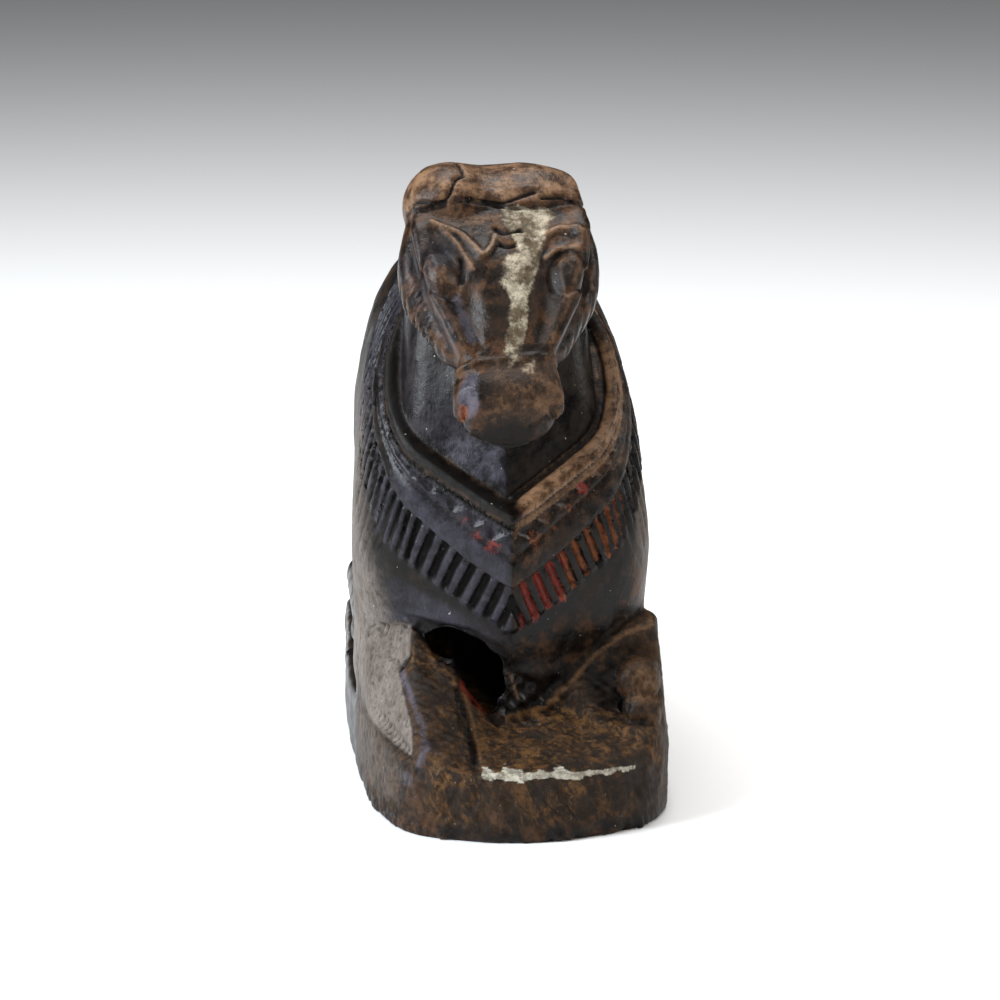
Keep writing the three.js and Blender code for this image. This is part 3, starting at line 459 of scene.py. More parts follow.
def face_cuts(u, s, n):
    """The finer carving of the face: brows, lids, the forehead's mark, cracks and creases."""
    brows = line(u, s, LEFT_BROW, 1.9) + line(u, s, RIGHT_BROW, 2)
    lids = line(u, s, LEFT_LID, 1.3) + line(u, s, RIGHT_LID, 1.5)
    cracks = line(u, s, CROWN_CRACK, 0.8) + line(u, s, CROWN_LINE, 0.9) + line(u, s, CROWN_LINE_RIGHT, 0.8)
    mark = line(u, s, MARK_TOP, 1.2) + line(u, s, MARK_FOOT, 1)
    petal = 1 - ease(np.hypot((u - 3) / 4.5, (s - 10.5) / 2.1), 0.5, 1.1)
    pupil = 1 - ease(np.hypot((u - 17) / 1.6, (s - 22) / 3), 0.4, 1.2)
    right_eye = 0.4 * line(u, s, RIGHT_EYE, 1.2) - 0.7 * pupil
    left_eye = -1.1 * line(u, s, LEFT_TEAR, 1.2)
    facet = -0.5 * (1 - ease(line_distance(u, s, (-13.3, 27), (-8, 40)), 1, 2.6))
    creases = sum(line(u, s, points, 0.7) for points in MUZZLE_CREASES) + 1.4 * line(u, s, MOUTH, 0.8)
    rungs = (1 - ease(np.abs(u + 21.3 - 0.25 * (s - 25)), 1.2, 2.4)) * within(s, 19, 33, 1) * (u < 0)
    ladder = -0.5 * rungs * ease(np.cos(2 * math.pi * (s + 0.9 * u) / 2.1), -0.2, 0.8)
    cut = (0.9 * brows + 0.6 * lids + 0.7 * petal - 1.1 * cracks - mark - 0.45 * creases
           + right_eye + left_eye + facet)
    return np.where(n > -15, cut, 0) + np.where(n > -30, ladder, 0)


def spot(x, b, z, centre, radius):
    """1 within half of this radius of a place, falling to 0 at it."""
    far = np.sqrt((x - centre[0]) ** 2 + (b - centre[1]) ** 2 + (z - centre[2]) ** 2)
    return 1 - ease(far / radius, 0.5, 1)


def low_front(x, b, z):
    """1 on the base, the shelf and the legs, 0 on the chest."""
    on_base = 1 - ease(z - 0.9 * np.maximum(b - 30, 0), 20, 26)
    on_legs = 1 - ease(np.abs(forelegs(x, b, z)), 0.8, 1.6)
    return np.maximum(on_base, on_legs) * (1 - ease(b, 60, 80))


# Seen from the front, across and up: the sawn facet of the near leg, the chip at its top, the painted shadow
# under the chest, also cut a little deeper, the step beside the flat ground between the legs, and the middle
# of the far knee.
NEAR_FACET = [(-40.5, 44), (-35.5, 45.8), (-28.9, 49), (-25.4, 48.5), (-26.1, 41.4), (-29.1, 37.8),
              (-28, 32.1), (-26.7, 27.3), (-26.8, 20.4), (-31.1, 21.5), (-34.9, 23.3), (-37.3, 25),
              (-38.9, 28.5), (-41, 36)]
CHIP = [(-33.3, 47.5), (-25.5, 49), (-25.8, 41.4), (-29.2, 37.4), (-30.8, 39.6), (-33, 42.4)]
UNDER_CHEST_SHADOW = [(-26.5, 51), (-18.2, 50.4), (-10.6, 49), (-5, 46.6), (-0.6, 43), (2, 37.5), (8.4, 34), (13, 35),
        (15.5, 30), (11, 25.5), (3, 23.4), (-4, 24), (-9, 30), (-14, 37.5), (-20.9, 43.5)]
TONGUE_STEP = [(-13.6, 33.5), (-11.7, 26), (-10.9, 19.6)]
KNEE = (37, 34)


def hair_stroke(x, b, z):
    """1 along the strokes of hair on the flanks beside the collar."""
    return ease(np.cos(2 * math.pi * (b + 0.3 * z + 0.9 * ripple(x, b, z, 17, 15)) / 4.2), -0.1, 0.7)


def roll_groove(x):
    """How far up the collar the groove beside the roll runs: a little lower on the left."""
    return mix(20.7, 21.7, ease(x, -1, 1))


def tool_marks(x, b, z):
    """What tools and years left: rough hewing on the base, a chip on the near leg, an uneven polish."""
    low = low_front(x, b, z)
    hewn = (0.42 * ripple(x, b, z, 8, 11) + 0.3 * ripple(x, 3 * b, z, 3.8, 12)
            + 0.14 * ripple(x, b, z, 1.8, 13))
    sawn = patch(x, z, NEAR_FACET, 0.6) * (b < 56)
    chipped = patch(x, z, CHIP, 0.5) * within(b, 30, 50, 2)
    base = low * (1 - sawn * (1 - chipped)) * (1 - 0.7 * ease(np.abs(x), 34, 39)) * hewn
    strip_top = 18.9 - 0.07 * np.maximum(x - 6, 0)
    strip = -0.6 * within(z, 16.6, strip_top, 0.4) * within(x, -9, 33, 1) * (1 - ease(b, 8, 11))
    chip = -chipped * (0.7 + 0.4 * ripple(x, b, z, 5, 14))
    # The recess under the chest, cut a little deeper where its painted shadow lies.
    deepened_under_chest = -1.2 * patch(x, z, UNDER_CHEST_SHADOW, 1) * within(b, 24, 44, 2) * (0.7 + 0.6 * ripple(x, b, z, 4, 21))
    groove_place = line_distance(b, z, (38.3, 27.2), (10.3, 20.7))
    cuts = ease(np.cos(2 * math.pi * (b + 0.4 * z) / 2.3), 0.2, 0.8)
    groove = -(0.8 + 0.5 * cuts) * (1 - ease(groove_place, 0.6, 2.2)) * ease(-x, 25, 29)
    rings = np.hypot(x - KNEE[0], z - KNEE[1])
    knee = 0.18 * np.cos(2 * math.pi * rings / 1.7) * (1 - ease(rings, 5, 7)) * within(b, 18, 28, 3)
    side = ease(np.abs(x), 31, 34) * within(b, 34, 96, 4) * within(z, 66, 130, 8)
    q = ring_at(b, z)
    hair = -0.6 * hair_stroke(x, b, z) * side * within(q, -7, 13, 1.5)
    on_collar = within(b, 20, 74, 3) * (z > 60) * ease(body(x, b, z), -3, -2)
    beside_roll = -0.8 * (1 - ease(np.abs(q - roll_groove(x)), 0.2, 0.8)) * on_collar
    beside_tongue = -0.9 * line(x, z, TONGUE_STEP, 1.6) * within(b, 0, 36, 2)
    polish = 0.16 * ripple(x, b, z, 15, 16) + 0.06 * ripple(x, b, z, 5, 17)
    behind = ease(b, 100, 130)
    gouged = behind * (0.22 * ripple(x, b, z, 9, 18) + 0.1 * ripple(x, b, z, 4, 19))
    return base + strip + chip + deepened_under_chest + groove + knee + hair + beside_roll + beside_tongue + polish + gouged


def fine_carving(x, b, z):
    """How far the finer cuts and the wear move the surface outwards."""
    u, s, n = face_place(x, b, z)
    return face_cuts(u, s, n) * (b < 62) * (z > 95) + tool_marks(x, b, z)


bpy.ops.object.select_all(action="DESELECT")
solid = bpy.data.objects["nandi_bull_figure"]
bull = bpy.data.objects.new("carved_bull", solid.data.copy())
bpy.context.scene.collection.objects.link(bull)
bpy.context.view_layer.objects.active = bull
bull.select_set(True)
bpy.ops.object.mode_set(mode="EDIT")
bpy.ops.mesh.select_all(action="SELECT")
bpy.ops.mesh.remove_doubles(threshold=0.00001)
bpy.ops.object.mode_set(mode="OBJECT")
web_middle = [(start + end - 2 * zero) / 2000 for start, end, zero in zip(*WEB, (*ORIGIN, 0))]
web_length = (WEB[1][0] - WEB[0][0]) / 1000
bpy.ops.mesh.primitive_cylinder_add(vertices=24, radius=WEB_RADIUS / 1000, depth=web_length,
                                    location=web_middle, rotation=(0, math.pi / 2, 0))
bpy.ops.object.transform_apply(location=True, rotation=True, scale=True)
bull.select_set(True)
bpy.context.view_layer.objects.active = bull
bpy.ops.object.join()
FACE_SIZE = 0.0006
apply_modifier(bull, "REMESH", mode="VOXEL", voxel_size=FACE_SIZE)
places = settle(carving, drawing_of(bull.data), rounds=3, reach=0.6)
slope = slope_of(carving, places)[1]
outwards = slope / np.maximum(np.sqrt((slope**2).sum(axis=0)), 0.3)
UNDERSIDE = 0.3  # below this height nothing is cut, so that the bull stands flat
places = places + outwards * np.where(places[2] < UNDERSIDE, 0, fine_carving(*places))
put_back(bull.data, places)
MOST_FACES = 190000
triangles = sum(len(face.vertices) - 2 for face in bull.data.polygons)
if triangles > MOST_FACES:
    apply_modifier(bull, "DECIMATE", ratio=MOST_FACES / triangles)
lowest, highest = (np.array(corner)[:, None] * 1000 for corner in cad_box)
middle = np.array([[ORIGIN[0]], [ORIGIN[1]], [0]])
put_back(bull.data, np.clip(drawing_of(bull.data), lowest + middle, highest + middle))
bpy.ops.object.shade_smooth()
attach(bull, "root")
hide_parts("nandi_bull_figure")

# The bull's finish: wood oiled and handled for generations, black where hands and cloths reach, brown on the
# head and dusty on the base, with a pale patch down the brow that is the last of a lime coat and a painted
# highlight, red and orange paint left in some of the cuts and bare wood where it has been rubbed. Light and
# shade are painted
# in too: painted shade in the hollows and grooves, a painted shadow under the chest, a painted blue sheen and
# blue highlights on faces turned to the left, and painted highlights along ridges, the collar's right wall
# and the sides.
places = drawing_of(bull.data)
x, b, z = places
u, s, n = face_place(x, b, z)
normals = np.empty(len(bull.data.vertices) * 3)
bull.data.vertices.foreach_get("normal", normals)
facing = normals.reshape(-1, 3).T

ends = np.empty(len(bull.data.edges) * 2, int)
bull.data.edges.foreach_get("vertices", ends)
first, second = ends.reshape(-1, 2).T
count = len(bull.data.vertices)
neighbours = np.bincount(first, minlength=count) + np.bincount(second, minlength=count)


def spread(values):
    """Each point's mean over its neighbours."""
    total = np.bincount(first, values[second], count) + np.bincount(second, values[first], count)
    return total / np.maximum(neighbours, 1)


# The lie of the surface: hollows and edges, over one mesh face and over a dozen, and how deep a place lies.
around = np.stack([spread(axis) for axis in places])
spacing = np.sqrt(((places[:, first] - places[:, second]) ** 2).sum(axis=0))
spacing = np.bincount(first, spacing, count) + np.bincount(second, spacing, count)
spacing = np.maximum(spacing / np.maximum(neighbours, 1), 0.1)
bend = ((around - places) * facing).sum(axis=0) / spacing**2  # above 0 in a hollow, below 0 on an edge
bend = 0.5 * bend + 0.5 * spread(bend)
wide_bend = bend
for _ in range(12):
    wide_bend = spread(wide_bend)
# How hemmed in by wood a place is three millimetres out, used for painted shade in the hollows.
sunk = np.clip(1 - carving(*(places + facing * 3)) / 3, -1, 1)

# The parts of the carving, each 1 on its own surface and 0 off it.
cracks = (line(u, s, CROWN_CRACK, 0.9) + line(u, s, CROWN_LINE, 1) + line(u, s, CROWN_LINE_RIGHT, 0.9)
          + line(u, s, MARK_TOP, 1.1) + line(u, s, MARK_FOOT, 0.9) + line(u, s, LEFT_TEAR, 1.2)
          + line(u, s, MOUTH, 0.8)) * (n > -15) * (z > 95)
q = ring_at(b, z)
on_head = (s < 66) & (n > -34) & (z > 96) & (b < 66) & (np.abs(u) < 27)
on_face = on_head & (n > -11)
body_value = body(x, b, z)
on_body = (np.abs(body_value) < 1.6) & ~on_head
on_neck = (np.abs(neck(x, b, z)) < 0.9) & ~on_head & ~on_body
left, right = ease(-x, -1, 1), ease(x, -1, 1)
low = low_front(x, b, z) * (~on_head)
fringe_band = within(q, fringe_from(b), plain_from(b), 0.5) * on_body
plain_band = within(q, plain_from(b), pattern_from(b), 0.4) * on_body
pattern_band = within(q, pattern_from(b), ROLL_FROM, 0.4) * on_body
roll_band = within(q, ROLL_FROM - 0.2, ROLL_TO - 0.6, 0.3) * on_body
lip = within(q, mix(ROLL_TO - 0.4, 22.1, right), 30, 0.3) * (np.abs(body_value) < 1.8) * (~on_head)
on_band = on_body.astype(float)
for _ in range(4):
    lip, on_band = spread(lip), spread(on_band)
chest = (1 - ease(q, -2, 0.5)) * on_body
slots = ease(gouge_stroke(along_bands(x, b, z)), 0.4, 0.7) * fringe_band
# Painted shadow: black laid in the deep recess under the chest, behind the hollow's front edge and higher up.
painted_shadow_under_chest = patch(x, z, UNDER_CHEST_SHADOW, 2.5) * within(b, 24, 64, 1)
painted_shadow_under_chest = painted_shadow_under_chest * np.maximum(ease(b, brink(x) - 1.2, brink(x) + 0.4), ease(z, 35, 39))
sawn = patch(x, z, NEAR_FACET, 0.5) * (b < 56) * (b > 8)

# On the face, across and down: the pale patch of lime coat and painted highlight, and two facets with a
# painted blue highlight.
LIME_AND_HIGHLIGHT_PATCH = [(0.1, -0.3), (5.8, -0.1), (13.7, 1), (14.1, 3.8), (10.9, 8.1), (11, 10.9), (10, 13.2),
             (9.4, 17.3), (7.5, 23.5), (5.6, 28), (5.4, 32.7), (4.1, 39.5), (2.5, 45.1), (-0.4, 46.7),
             (-0.5, 41.6), (0.6, 36.2), (1.1, 29.4), (-0.3, 24.6), (-0.2, 18.2), (2.5, 15.6), (3.8, 12.8),
             (0.9, 5.8)]
NOSE_FACET = [(-13.7, 26.3), (-12, 25.4), (-9.5, 32.5), (-7.6, 38.7), (-9.9, 40.2), (-11.9, 34.5)]
MUZZLE_FACET = [(-10.1, 46.6), (-7.5, 47.9), (-7.4, 56.5), (-9.6, 57.8), (-13.4, 56.5), (-12.6, 50)]
# A pale patch down the brow and nose: the last of a lime coat, with a painted highlight along the nose's
# facet.
thickness = 0.74 + 0.22 * within(s, 9, 40, 4)
lime_and_highlight = np.maximum(thickness * patch(u, s, LIME_AND_HIGHLIGHT_PATCH, 1.2), 0.45 * patch(u, s, LIME_AND_HIGHLIGHT_PATCH, 3.5)) * on_face
lime_and_highlight = np.maximum(lime_and_highlight, 0.4 * within(u, 1, 8, 2) * within(s, 43, 50, 3) * on_face)

# On the base and the legs, across and up: where ochre dust is thicker or thinner, the knee's hollow, darker
# as painted shade, and the grey side of the base, worn wood with a painted reflection.
STREAKED = [(-25.4, 46.4), (-17.9, 42), (-13.5, 36), (-12, 33), (-10.4, 22.1), (-17.1, 28.7), (-21.1, 32.9),
            (-25, 39.2)]
SHELF = [(-8.5, 30), (3, 27), (12.2, 28.3), (18.9, 29.8), (27.2, 26.6), (38, 25), (38, 18.8), (11.4, 18.6),
         (-9.8, 18.6)]
FRONT_OCHRE = [(-23, 21.1), (-11.7, 21.3), (-10.6, 13.7), (-13.2, 6.3), (-21.5, 7.3)]
SHADED_KNEE_HOLLOW = [(21.3, 36.3), (28.4, 37.7), (30.7, 32.8), (31.2, 28.3), (25.6, 26.2), (21.5, 28.2)]
GREY_SIDE = [(-42, 18.3), (-36, 23), (-30.3, 20.5), (-27.3, 15.2), (-30.5, 6.5), (-42, 3.1)]
# Less dust in the knee's hollow is painted shade.
dusty = (0.5 + 0.45 * patch(x, z, STREAKED, 1.5) + 0.45 * patch(x, z, SHELF, 1.5)
         + 0.4 * patch(x, z, FRONT_OCHRE, 2) + 0.3 * within(x, 0, 34, 4) * within(z, 6, 15, 2) * (b < 16)
         - 0.4 * patch(x, z, SHADED_KNEE_HOLLOW, 2) - 0.3 * (1 - ease(z, 2, 5)))
ochre = np.clip(dusty, 0, 1) * low * (1 - sawn) * (1 - 0.9 * painted_shadow_under_chest)
ochre = np.maximum.reduce([
    ochre,
    0.4 * within(s, 42, 60, 4) * on_face * ease(u, -9, -3),
    0.35 * within(s, 24, 44, 4) * within(u, 6, 13, 2) * on_face,
    0.95 * spot(x, b, z, (37, 25, 34), 9),
    0.9 * spot(x, b, z, (39, 18, 18), 8),
])

above_legs = ease(z, 50, 70)
side_left, side_right = ease(-x, 24 + 8 * above_legs, 38 + 2 * above_legs), ease(x, 31, 37)
# Worn grey on the left flank, with a painted pale rim reflection down that side.
flank_wear_and_sheen = (0.85 - 0.17 * ease(z, 46, 66)) * side_left * within(z, 24, 132, 8)
# Bare rubbed wood on the sawn facet and on edges, and painted rim reflections down both sides of body and
# base.
rubbed_and_rim_sheen = np.maximum.reduce([
    sawn,
    flank_wear_and_sheen * (1 - ease(b + 14 * ripple(x, b, z, 40, 26), 70, 160)) * (~on_head),
    0.42 * patch(x, z, GREY_SIDE, 3) * low,
    0.4 * ease(-x, 36, 40) * (1 - ease(z, 19, 24)) * (1 - ease(b + 10 * ripple(x, b, z, 30, 27), 40, 130)),
    0.5 * side_right * within(z, 60, 125, 10) * (1 - ease(b, 80, 110)) * (1 - fringe_band),
    np.clip(-1.1 * bend - 0.3, 0, 0.5) * (~on_head) * (1 - pattern_band) * (1 - low),
])
# Painted highlight: a thin pale line along the rounded rim of the face.
face_edge = 1 - ease(np.abs(np.abs(u) - face_half(s) + 1.4), 0.3, 1.5)
MARK_CREST = [(-1, 11), (1.4, 12.2), (4, 11.6), (6.5, 9.6)]
crests = (line(u, s, LEFT_BROW, 1.2) + line(u, s, LEFT_LID, 1) + line(u, s, RIGHT_BROW, 1.3)
          + line(u, s, RIGHT_LID, 1.1) + 0.5 * line(u, s, RIGHT_EYE, 0.8) + 0.7 * line(u, s, MARK_CREST, 0.9))
worn_crown = (1 - ease(s, -3, 1)) * on_head * (1 - ease(-n, 16, 24))
# Worn polish on crown, brow, eye, muzzle, far knee and edges, and painted highlight on the collar's roll and
# lip on the right, whose walls turn towards the light.
worn_and_lit_polish = np.maximum.reduce([
    0.85 * worn_crown * (1 - ease(b + 3 * ripple(x, b, z, 12, 28), 47, 61)),
    0.35 * within(s, 1, 9, 3) * on_face * within(u, -20, 20, 3),
    0.5 * spot(u, s, 0 * s, (-14.8, 23, 0), 6) * on_face,
    0.45 * within(s, 43, 60, 4) * on_face * ease(u, -8, -2),
    0.55 * spot(x, b, z, (36.5, 23, 34.5), 7),
    0.7 * roll_band * ease(x, 1, 3),
    0.95 * lip * ease(x, 1, 3) * (1 - ease(b, 56, 70)) * (1 - ease(q, 23.6, 25.5)),
    0.3 * roll_band * ease(-x, 1, 3),
    np.clip(-1.4 * bend - 0.2, 0, 0.8) * np.maximum(on_head, low * (1 - sawn)),
])

roll_edge = 1 - ease(np.abs(q - mix(21.4, 21, right)), 0.2, 0.7)
band_edge = 1 - ease(np.abs(q - plain_from(b) - 0.3), 0.1, 0.6)
FAR_LEG_EDGE = [(12.2, 28.6), (15.9, 32.3), (23.3, 39.6), (31.3, 45.4), (38.9, 47.6)]
LEDGE = [(-7.8, 28.2), (-4.1, 28.2), (3, 26), (6.7, 26.3), (11.3, 28.2), (14.1, 31)]
SPLINTERS = [(-2, 39.2), (0.2, 37.3), (1.1, 33.5), (2.1, 30.6)]
# Pale ridges: wear on brows, lids and ledges, pale splinters, and painted highlights on the face's rim, the
# roll's edges and the collar lip's inner line on the right.
ridge_wear_and_highlight = np.maximum.reduce([
    0.74 * np.clip(crests, 0, 1) * on_face,
    0.3 * face_edge * on_head * (n > -4) * within(s, 2, 46, 4),
    0.75 * roll_edge * on_band * ease(x, 0, 2),
    0.7 * lip * (1 - ease(np.abs(q - 22.9), 0.3, 0.9)) * ease(x, 1, 3) * (1 - ease(b, 56, 70)),
    0.3 * (roll_edge + band_edge) * on_band,
    0.6 * line(x, z, FAR_LEG_EDGE, 1.3) * low,
    0.85 * line(x, z, LEDGE, 1.8) * low * (b < 42),
    0.6 * line(x, z, [(-12.3, 33), (-10.2, 26), (-9.2, 19.8)], 1) * low * (b < 36),
    0.6 * line(x, z, SPLINTERS, 1.1) * (b < 36),
])

red = np.maximum.reduce([
    slots * ease(x, 1.5, 3) * (1 - ease(x, 12, 20)) * (1 - ease(b, 46, 64)),
    0.42 * spot(x, b, z, (-8.9, 26.9, 76.2), 3),
    0.42 * spot(x, b, z, (-4.2, 25.3, 72.8), 3.4),
    0.4 * spot(x, b, z, (-12.3, 29, 80), 2.4),
    0.55 * spot(x, b, z, (19.3, 33.2, 85.7), 3),
    line(x, z, [(-12, 35), (-9.6, 31.6), (-6.2, 28)], 2.6) * within(b, 26, 40, 1),
])
orange = np.maximum.reduce([
    spot(u, s, 0 * s, (-11.7, 55.6, 0), 1.6) * on_head * (n > -15),
    0.75 * slots * ease(x, 11, 16) * (1 - ease(x, 28, 34)) * (1 - ease(b, 46, 64)),
    0.3 * pattern_band * right * ease(bend, 0.1, 0.3),
    0.5 * spot(x, b, z, (6, 25.4, 75), 3.6),
    0.4 * spot(x, b, z, (14.8, 30.3, 81.6), 2.6),
    0.4 * spot(x, b, z, (11, 28.1, 77.9), 2.4),
])

strip_top = 18.9 - 0.06 * np.maximum(x - 5, 0) + 0.35 * ripple(x, 0, 0, 5, 23)
strip_foot = 17 - 0.03 * np.maximum(x - 5, 0) + 0.45 * ripple(x, 0, 0, 3.4, 24)
chalk = within(z, strip_foot, strip_top, 0.3) * within(x, -9.4, 33.6, 0.6) * (1 - ease(b, 9, 12))
brown = np.maximum.reduce([
    0.95 * on_head * (1 - 0.7 * ease(-n, 12, 20)) * (1 - 0.7 * ease(b, 50, 63)),
    0.75 * (pattern_band + 0.6 * plain_band) * right,
    0.4 * (side_right + chest * right),
    0.5 * low,
    0.35 * ease(b, 70, 110),
])
# Painted reflection: a cool blue-grey sheen on the faces turned to the left, on the neck, collar, chest and
# face.
painted_blue_sheen = np.maximum.reduce([
    0.45 * on_neck * left,
    0.95 * plain_band * left * within(x, -30, 0, 3),
    0.6 * pattern_band * left,
    0.8 * fringe_band * left * (1 - slots),
    0.75 * chest * left * within(z, 46, 72, 5) * within(x, -32, 0, 4),
    0.45 * on_face * ease(-u, 9, 14) * within(s, 8, 42, 4),
])
NEAR_RIDGE = [(-28.3, 37.6), (-26.3, 32.8), (-23.8, 27.9), (-23.3, 24), (-25.6, 19.1)]
# Painted highlight: blue-white shine on the nose and muzzle facets, the near leg's ridge, a patch below it
# and the neck.
painted_blue_highlight = np.maximum.reduce([
    0.7 * patch(u, s, NOSE_FACET, 1.2) * on_face,
    0.62 * patch(u, s, MUZZLE_FACET, 1.2) * on_face,
    0.6 * line(x, z, NEAR_RIDGE, 2.1) * low,
    0.5 * patch(x, z, [(-30.4, 17), (-26.8, 17.4), (-26.9, 13), (-30.5, 11.6)], 1) * low,
    0.45 * on_neck * left * within(z, 84, 100, 4) * within(x, -24, -1, 2),
])

# Painted shade with some grime: darker where the surface bends in, where it lies deep among wood, and in
# cracks.
grime_and_painted_shade = np.clip(1.2 * bend + 1.3 * wide_bend + 0.5 * np.maximum(sunk - 0.2, 0) + 0.9 * cracks - 0.08, 0, 1)
under_lip = patch(u, s, [(-7.6, 58.5), (7, 58.5), (8, 64), (-8, 64)], 2) * on_head
grooves = 1 - ease(np.abs(q - roll_groove(x)), 0.15, 0.7)
channel = ease(q, 23.2, 24.2) * (np.abs(neck(x, b, z)) < 4) * on_body
beside_tongue = line(x, z, TONGUE_STEP, 1.8) * low * (b < 36)
beside_leg = line(x, z, [(13, 30.5), (17, 35), (24, 42), (32, 48), (39, 50)], 1.8) * (b > 30) * (~on_head)
eye_hollows = within(u, 8, 19, 2) * within(s, 18, 30, 3) + within(u, -17, -8, 2) * within(s, 9, 20, 3)
# More painted shade: the collar lip's left wall, the fringe's slots, under the lip, the eye hollows, the
# grooves, the channel beside the neck, beside the tongue and the far leg, between the hair strokes and in the
# knee's dish.
grime_and_painted_shade = np.maximum.reduce([
    grime_and_painted_shade * (1 - 0.8 * orange),
    painted_shadow_under_chest,
    0.9 * lip * ease(-x, 0.5, 2),
    0.9 * slots * (1 - red) * (1 - orange),
    0.7 * under_lip,
    0.35 * eye_hollows * on_face,
    0.9 * grooves * on_band,
    0.9 * spread(spread(channel)),
    0.6 * beside_tongue,
    0.6 * beside_leg,
    0.7 * hair_stroke(x, b, z) * side_left * within(q, -7, 13, 1.5) * on_body * (z > 66),
    0.45 * patch(x, z, SHADED_KNEE_HOLLOW, 2) * low,
])
grime_and_painted_shade = grime_and_painted_shade * (1 - 0.8 * red) * (1 - 0.6 * ridge_wear_and_highlight)

masks = {"grime_and_painted_shade": grime_and_painted_shade, "lime_and_highlight": lime_and_highlight, "ochre": ochre, "rubbed_and_rim_sheen": rubbed_and_rim_sheen, "red": red, "orange": orange,
         "chalk": chalk, "brown": brown, "painted_blue_sheen": painted_blue_sheen, "worn_and_lit_polish": worn_and_lit_polish, "ridge_wear_and_highlight": ridge_wear_and_highlight, "painted_blue_highlight": painted_blue_highlight}
for name, mask in masks.items():
    layer = bull.data.attributes.new(name, "FLOAT", "POINT")
    mask = np.clip(mask, 0, 1)
    layer.data.foreach_set("value", (0.6 * mask + 0.4 * spread(mask)).astype(np.float32))

wood = bpy.data.materials.new("carved_wood_look")
wood.use_nodes = True
nodes, links = wood.node_tree.nodes, wood.node_tree.links
shader = nodes["Principled BSDF"]


def feed(socket, source):
    """A socket set to a plain value or linked to another node."""
    if isinstance(source, (int, float, tuple)):
        socket.default_value = source
    else:
        links.new(source, socket)


def reckon(kind, one, other, clamped=False):
    node = nodes.new("ShaderNodeMath")
    node.operation, node.use_clamp = kind, clamped
    feed(node.inputs[0], one)
    feed(node.inputs[1], other)
    return node.outputs[0]


def mask_of(name):
    """One of the masks stored on the mesh."""
    node = nodes.new("ShaderNodeAttribute")
    node.attribute_name = name
    return node.outputs["Fac"]


def blend(amount, under, over):
    """The over colour laid on the under one by this amount."""
    node = nodes.new("ShaderNodeMix")
    node.data_type = "RGBA"
    feed(node.inputs["Factor"], amount)
    feed(node.inputs["A"], under)
    feed(node.inputs["B"], over)
    return node.outputs["Result"]


def levels(source, start, end, low=0.0, high=1.0):
    """A value that eases from low to high while the source goes from start to end."""
    node = nodes.new("ShaderNodeMapRange")
    node.interpolation_type = "SMOOTHSTEP"
    feed(node.inputs["Value"], source)
    for socket, value in zip(("From Min", "From Max", "To Min", "To Max"), (start, end, low, high)):
        node.inputs[socket].default_value = value
    return node.outputs["Result"]


coordinates = nodes.new("ShaderNodeTexCoord").outputs["Object"]


def stretched(scale, turned=(0, 0, 0)):
    """Places in the wood, turned and then scaled unevenly."""
    turn, stretch = nodes.new("ShaderNodeMapping"), nodes.new("ShaderNodeMapping")
    turn.inputs["Rotation"].default_value = turned
    stretch.inputs["Scale"].default_value = scale
    links.new(coordinates, turn.inputs["Vector"])
    links.new(turn.outputs["Vector"], stretch.inputs["Vector"])
    return stretch.outputs["Vector"]


def mottle(per_metre, detail, rough, twist=0.0, along=None):
    """Uneven noise with about so many blotches to the metre."""
    node = nodes.new("ShaderNodeTexNoise")
    links.new(along or coordinates, node.inputs["Vector"])
    node.inputs["Scale"].default_value = per_metre
    node.inputs["Detail"].default_value = detail
    node.inputs["Roughness"].default_value = rough
    node.inputs["Distortion"].default_value = twist
    return node.outputs["Fac"]


def broken(mask, noise, width, strength):
    """The mask with a torn edge: it shows where it is stronger than the noise."""
    torn = reckon("ADD", mask, reckon("MULTIPLY", reckon("SUBTRACT", noise, 0.5), strength * 2))
    return reckon("MULTIPLY", levels(torn, 0.5 - width, 0.5 + width), levels(mask, 0.02, 0.2))


GRAIN_RUN = (260, 260, 38)  # the grain stands upright: fine across it, long along it
coarse, medium, fine = mottle(60, 5, 0.65), mottle(190, 6, 0.7), mottle(650, 3, 0.6)
flakes, crust = mottle(330, 6, 0.75), mottle(520, 5, 0.75)
grain = mottle(4, 4, 0.6, 0.5, stretched(GRAIN_RUN))
pores = mottle(10, 2, 0.5, 0, stretched(GRAIN_RUN))
streaks = mottle(2.2, 6, 0.72, 0.8, stretched((170, 170, 60), (0, 0.5, 0)))
specks = mottle(1100, 0, 0.5)

black = blend(levels(medium, 0.4, 0.66), (0.0028, 0.002, 0.0016, 1), (0.012, 0.0078, 0.0052, 1))
warm = blend(levels(medium, 0.44, 0.6), (0.0065, 0.0034, 0.0018, 1), (0.066, 0.029, 0.0115, 1))
warm = blend(levels(coarse, 0.45, 0.58, 0, 0.75), warm, (0.009, 0.005, 0.003, 1))
dust = blend(levels(streaks, 0.4, 0.62), (0.012, 0.0058, 0.0022, 1), (0.1, 0.046, 0.0135, 1))
dust = blend(levels(medium, 0.5, 0.62, 0, 0.8), dust, (0.008, 0.0048, 0.003, 1))
dust = blend(levels(flakes, 0.58, 0.72, 0, 0.6), dust, (0.21, 0.12, 0.05, 1))
dust = blend(levels(coarse, 0.48, 0.6, 0, 0.85), dust, (0.012, 0.0075, 0.005, 1))
# The grey of bare rubbed wood, also used for the painted rim reflections.
bare_and_sheen_grey = blend(levels(coarse, 0.35, 0.68), (0.16, 0.135, 0.118, 1), (0.075, 0.058, 0.046, 1))
bare_and_sheen_grey = blend(levels(grain, 0.4, 0.66, 0, 0.35), bare_and_sheen_grey, (0.24, 0.21, 0.185, 1))
